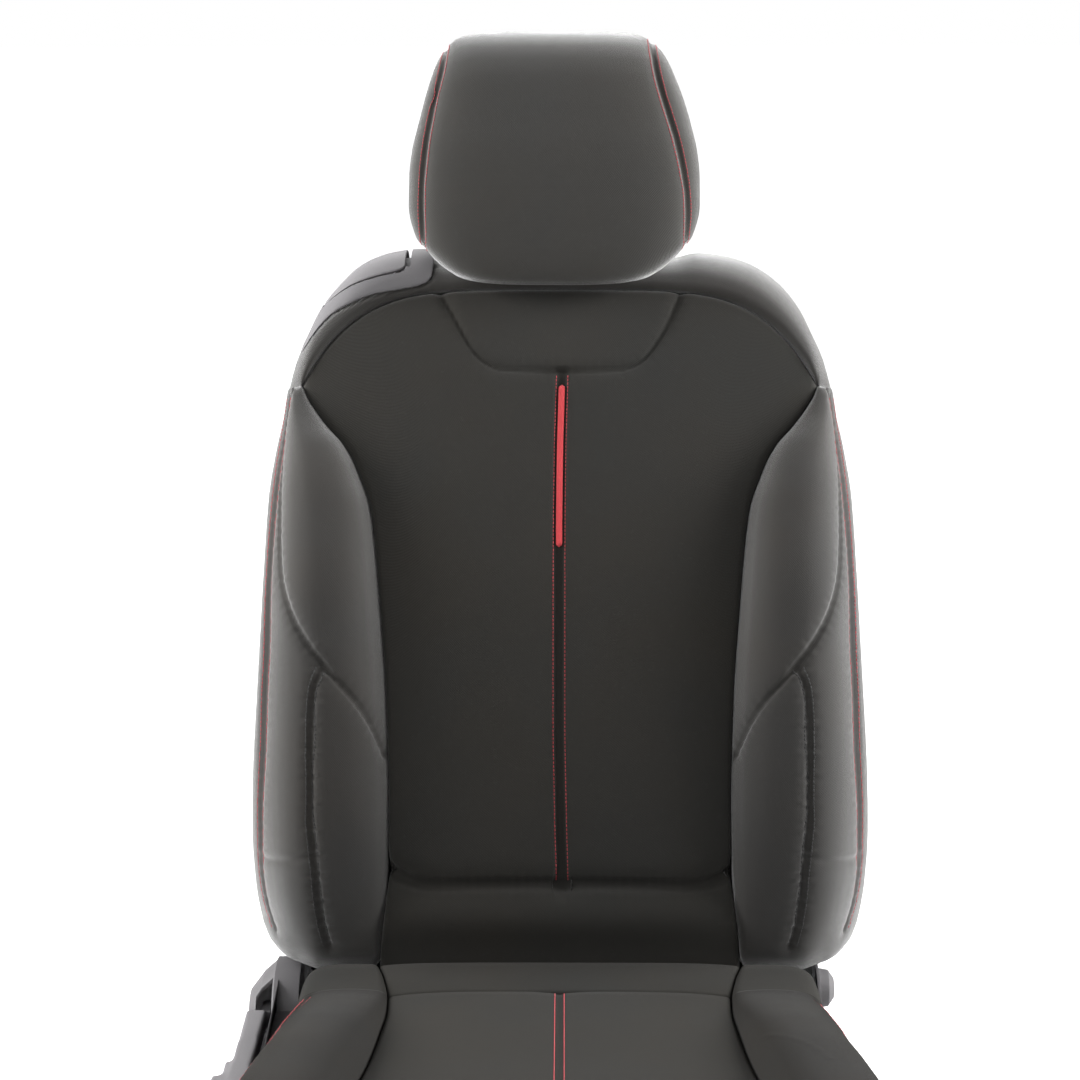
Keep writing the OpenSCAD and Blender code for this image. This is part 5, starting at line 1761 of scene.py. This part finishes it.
@dataclass
class ShoulderRelease:
    """The grip in the outboard shoulder that lets the backrest fold."""

    wardrobe: Wardrobe
    roll: ShoulderRoll = field(default_factory=lambda: ShoulderRoll(BackShape()))
    proud: float = 0.9
    recess: float = 6.4
    base: float = 9.5
    edge: float = 0.6
    strip_points: int = 84

    def slab(
        self, name: str, places: np.ndarray, low: Curve, rear: float, outer: Callable[[float, np.ndarray], np.ndarray],
        inner: float,
    ) -> bpy.types.Object:
        """Moulds a curved plate over the shoulder.

        Args:
            name: the piece's name.
            places: distances outwards, falling.
            low: the plate's front edge as height s over the distance outwards.
            rear: the reach f of its rear edge.
            outer: gives how far its face stands off the roll at a strip of points.
            inner: how far its back lies under the roll.

        Returns:
            The plate.
        """
        rows = []
        for aside in places:
            strip = self.roll.skin(aside, float(low(aside)), rear, self.strip_points)
            off = outer(aside, strip)
            off[[0, -1]] -= self.edge
            if aside in (places[0], places[-1]):
                off = off - self.edge
            face = strip[:, :2] + strip[:, 2:] * off[:, None]
            back = strip[:, :2] - strip[:, 2:] * inner
            ring = np.concatenate([face, back[::-1]])
            rows.append(BACK.place(np.full(len(ring), -aside), ring[:, 0], ring[:, 1]))
        obj = Cloth(name, np.array(rows)).make()
        Bench.shade(obj, 38.0)
        return obj

    def bezel_face(self, aside: float, strip: np.ndarray) -> np.ndarray:
        """Gives the bezel's stand-off, sunk where the grip lies in it."""
        lines = self.roll.lines
        gap = 1.7 + 0.22 * float(np.clip(lines.hinge - aside, 0.0, 10.0))
        under = (strip[:, 1] > float(lines.lever(aside)) - gap) | (strip[:, 0] < 20.0)
        under &= strip[:, 0] > lines.lever_rear - 1.7
        under &= lines.lever_inner - 4.2 < aside < lines.lever_outer + 1.7
        return np.where(under, -self.recess, self.proud)

    def grip_face(self, _aside: float, strip: np.ndarray) -> np.ndarray:
        """Gives the grip's stand-off, with its rear edge lifted a little for the fingers."""
        return self.proud + 0.9 * np.clip((-strip[:, 0] - 6.0) / 14.0, 0.0, 1.0)

    def build(self) -> None:
        """Builds the bezel and the grip."""
        lines = self.roll.lines
        places = np.linspace(lines.outer, lines.inner, 150)
        bezel = self.slab("shoulder_bezel_trim", places, lines.bezel, lines.rear, self.bezel_face, self.base)
        self.wardrobe.dress(bezel, Finish.BEZEL, "backrest", "trim_plastic", "shoulder_bezel")
        places = np.linspace(lines.lever_outer, lines.lever_inner, 96)
        grip = self.slab("shoulder_grip", places, lines.lever, lines.lever_rear, self.grip_face, 1.5)
        self.wardrobe.dress(grip, Finish.LEVER_PLASTIC, "shoulder_lever", "lever_plastic", "shoulder_lever")


@dataclass(frozen=True)
class Moulding:
    """A plastic piece that keeps the outline of its CAD node."""

    node: str
    name: str
    body: str
    finish: Finish
    rounding: float = 0.0
    strips: int = 3
    melting: int = 0
    cell: float = 1.5

    def build(self, wardrobe: Wardrobe) -> None:
        """Builds and dresses the piece."""
        obj = Bench.outline_copy(self.node, self.name, self.rounding, self.strips)
        if self.melting:
            Bench.melt(obj, self.cell, self.melting)
        wardrobe.dress(obj, self.finish, self.body, self.finish.name.lower(), self.node)


@dataclass
class HardTrim:
    """The valances along the seat frame, the levers beside them and the shell behind the backrest."""

    wardrobe: Wardrobe
    valances: tuple[Moulding, ...] = (
        Moulding("outer_valance", "outer_valance_cover", "seat_frame", Finish.TRIM_PLASTIC, 2.4),
        Moulding("inner_valance", "inner_valance_cover", "seat_frame", Finish.TRIM_PLASTIC, 2.0),
    )
    levers: tuple[Moulding, ...] = (
        Moulding("recline_lever", "recline_handle", "recline_lever", Finish.LEVER_PLASTIC, melting=16),
        Moulding("height_lever", "height_handle", "height_lever", Finish.LEVER_PLASTIC, melting=10),
    )
    shell: Moulding = Moulding("back_panel", "rear_panel_shell", "backrest", Finish.BLACK_PLASTIC, 1.2, 2)

    def build(self) -> None:
        """Builds every piece in turn."""
        for moulding in (*self.valances, *self.levers, self.shell):
            moulding.build(self.wardrobe)


@dataclass
class Metalwork:
    """The CAD nodes whose shape is right as it is: rails, links, tubes, springs and posts."""

    wardrobe: Wardrobe

    def build(self) -> None:
        """Gives every CAD node its finish by its record slot."""
        for part in frame["record"]["subparts"]:
            obj = frame["nodes"][part["node"]]
            finish = Finish[part["material_slot"].upper()]
            self.wardrobe.put_on(obj, finish)
            LOG.info("%s finished as %s", part["node"], finish.value.name)


# ---------------------------------------------------------------- studio


@dataclass
class Studio:
    """Camera, floor and lights."""

    azimuth: float = math.radians(0.54)
    elevation: float = math.radians(14.514)
    roll: float = math.radians(-0.135)
    distance: float = 2.356
    focal_pixels: float = 2673.4
    frame_pixels: float = 1080.0
    look_x: float = -17.5
    look_s: float = 420.74
    look_f: float = 60.0
    sensor: float = 36.0
    aim: tuple[float, float, float] = (0.0, 0.15, 0.6)
    lamps: tuple[tuple[str, tuple[float, float, float], float, float], ...] = (
        ("key_lamp", (-1.2, -1.7, 2.3), 1.5, 24.0),
        ("left_lamp", (-2.3, 0.45, 1.4), 1.4, 125.0),
        ("right_lamp", (2.3, 0.4, 1.4), 1.4, 150.0),
        ("rear_lamp", (0.0, 2.7, 2.3), 1.6, 60.0),
    )
    sky: tuple[tuple[float, float], ...] = ((0.0, 0.02), (0.5, 0.27), (0.62, 0.3), (0.8, 0.22), (1.0, 0.1))
    floor_size: float = 30.0
    floor_shade: float = 0.62
    floor_glow: tuple[float, float] = (0.56, 1.0)
    glow_reach: tuple[float, float] = (1.6, 4.0)

    def camera(self) -> None:
        """Creates the camera and makes it the scene's own."""
        a, e, t = self.azimuth, self.elevation, self.roll
        back = Vector((math.sin(a) * math.cos(e), -math.cos(a) * math.cos(e), math.sin(e)))
        right = Vector((math.cos(a), math.sin(a), 0.0))
        up = back.cross(right)
        turned_right = right * math.cos(t) + up * math.sin(t)
        turned_up = up * math.cos(t) - right * math.sin(t)
        look = Vector(BACK.place(self.look_x, self.look_f, self.look_s))
        matrix = Matrix((turned_right, turned_up, back)).transposed().to_4x4()
        matrix.translation = look + back * self.distance
        data = bpy.data.cameras.new("camera")
        data.sensor_width = self.sensor
        data.lens = self.focal_pixels / self.frame_pixels * self.sensor
        data.clip_end = 100.0
        camera = bpy.data.objects.new("camera", data)
        bpy.context.scene.collection.objects.link(camera)
        camera.matrix_world = matrix
        bpy.context.scene.camera = camera

    def lamp(self, name: str, place: tuple[float, float, float], size: float, watts: float) -> None:
        """Adds one soft lamp that lights the seat.

        Args:
            name: its name.
            place: where it stands in metres.
            size: the side of its square face in metres.
            watts: its power.
        """
        data = bpy.data.lights.new(name, "AREA")
        data.shape = "SQUARE"
        data.size = size
        data.energy = watts
        obj = bpy.data.objects.new(name, data)
        bpy.context.scene.collection.objects.link(obj)
        obj.location = place
        obj.rotation_euler = (Vector(self.aim) - Vector(place)).to_track_quat("-Z", "Y").to_euler()
        obj.visible_camera = False

    def surroundings(self) -> None:
        """Adds the pale surroundings, which shine by their height and look white."""
        world = bpy.data.worlds.new("surroundings")
        bpy.context.scene.world = world
        world.use_nodes = True
        nodes = Nodes(world.node_tree)
        rays = nodes.add("LightPath").outputs
        seen = nodes.math("MAXIMUM", rays["Is Camera Ray"], rays["Is Transmission Ray"])
        parts = nodes.add("SeparateXYZ", {0: nodes.add("TexCoord").outputs["Generated"]}).outputs
        height = nodes.math("MULTIPLY_ADD", parts["Z"], 0.5, 0.5)
        curve = nodes.add("FloatCurve", {"Value": height})
        line = curve.mapping.curves[0]
        for knot in self.sky[1:-1]:
            line.points.new(*knot)
        line.points[0].location = self.sky[0]
        line.points[-1].location = self.sky[-1]
        curve.mapping.update()
        level = nodes.add("MapRange", {"Value": seen, "To Min": curve.outputs["Value"], "To Max": 1.0})
        back = world.node_tree.nodes["Background"].inputs
        nodes.feed(back["Strength"], level.outputs["Result"])
        nodes.feed(back["Color"], (1.0, 1.0, 1.0, 1.0))

    def floor(self) -> None:
        """Adds the pale floor, which keeps the seat's shadow and fades into the surroundings."""
        bpy.ops.object.select_all(action="DESELECT")
        bpy.ops.mesh.primitive_plane_add(size=self.floor_size, location=(0.0, 0.0, 0.0))
        obj = Bench.settle(bpy.context.active_object, "floor")
        sheet = Sheet("pale_floor")
        sheet.feed(sheet.shader.inputs["Base Color"], (*[self.floor_shade] * 3, 1.0))
        sheet.feed(sheet.shader.inputs["Roughness"], 0.9)
        reach = sheet.add("VectorMath", {0: sheet.places["Object"]}, operation="LENGTH").outputs["Value"]
        ends = dict(zip(("From Min", "From Max", "To Min", "To Max"), self.glow_reach + self.floor_glow))
        away = sheet.add("MapRange", {"Value": reach, **ends}).outputs["Result"]
        seen = sheet.add("LightPath").outputs["Is Camera Ray"]
        glow = sheet.add("Emission", {"Strength": sheet.math("MULTIPLY", seen, away)})
        both = sheet.add("AddShader", {0: sheet.shader.outputs[0], 1: glow.outputs[0]})
        sheet.feed(sheet.tree.nodes["Material Output"].inputs["Surface"], both.outputs[0])
        obj.data.materials.append(sheet.material)

    def build(self) -> None:
        """Sets up the whole studio."""
        self.camera()
        for lamp in self.lamps:
            self.lamp(*lamp)
        self.surroundings()
        self.floor()
        bpy.context.scene.view_settings.view_transform = "Standard"


def main() -> None:
    logging.basicConfig(level=logging.INFO, format="%(name)s: %(message)s")
    Studio().build()
    wardrobe = Wardrobe()
    Metalwork(wardrobe).build()
    Headrest(wardrobe).build()
    Backrest(wardrobe).build()
    Cushion(wardrobe).build()
    ShoulderRelease(wardrobe).build()
    HardTrim(wardrobe).build()


if __name__ == "__main__":
    main()
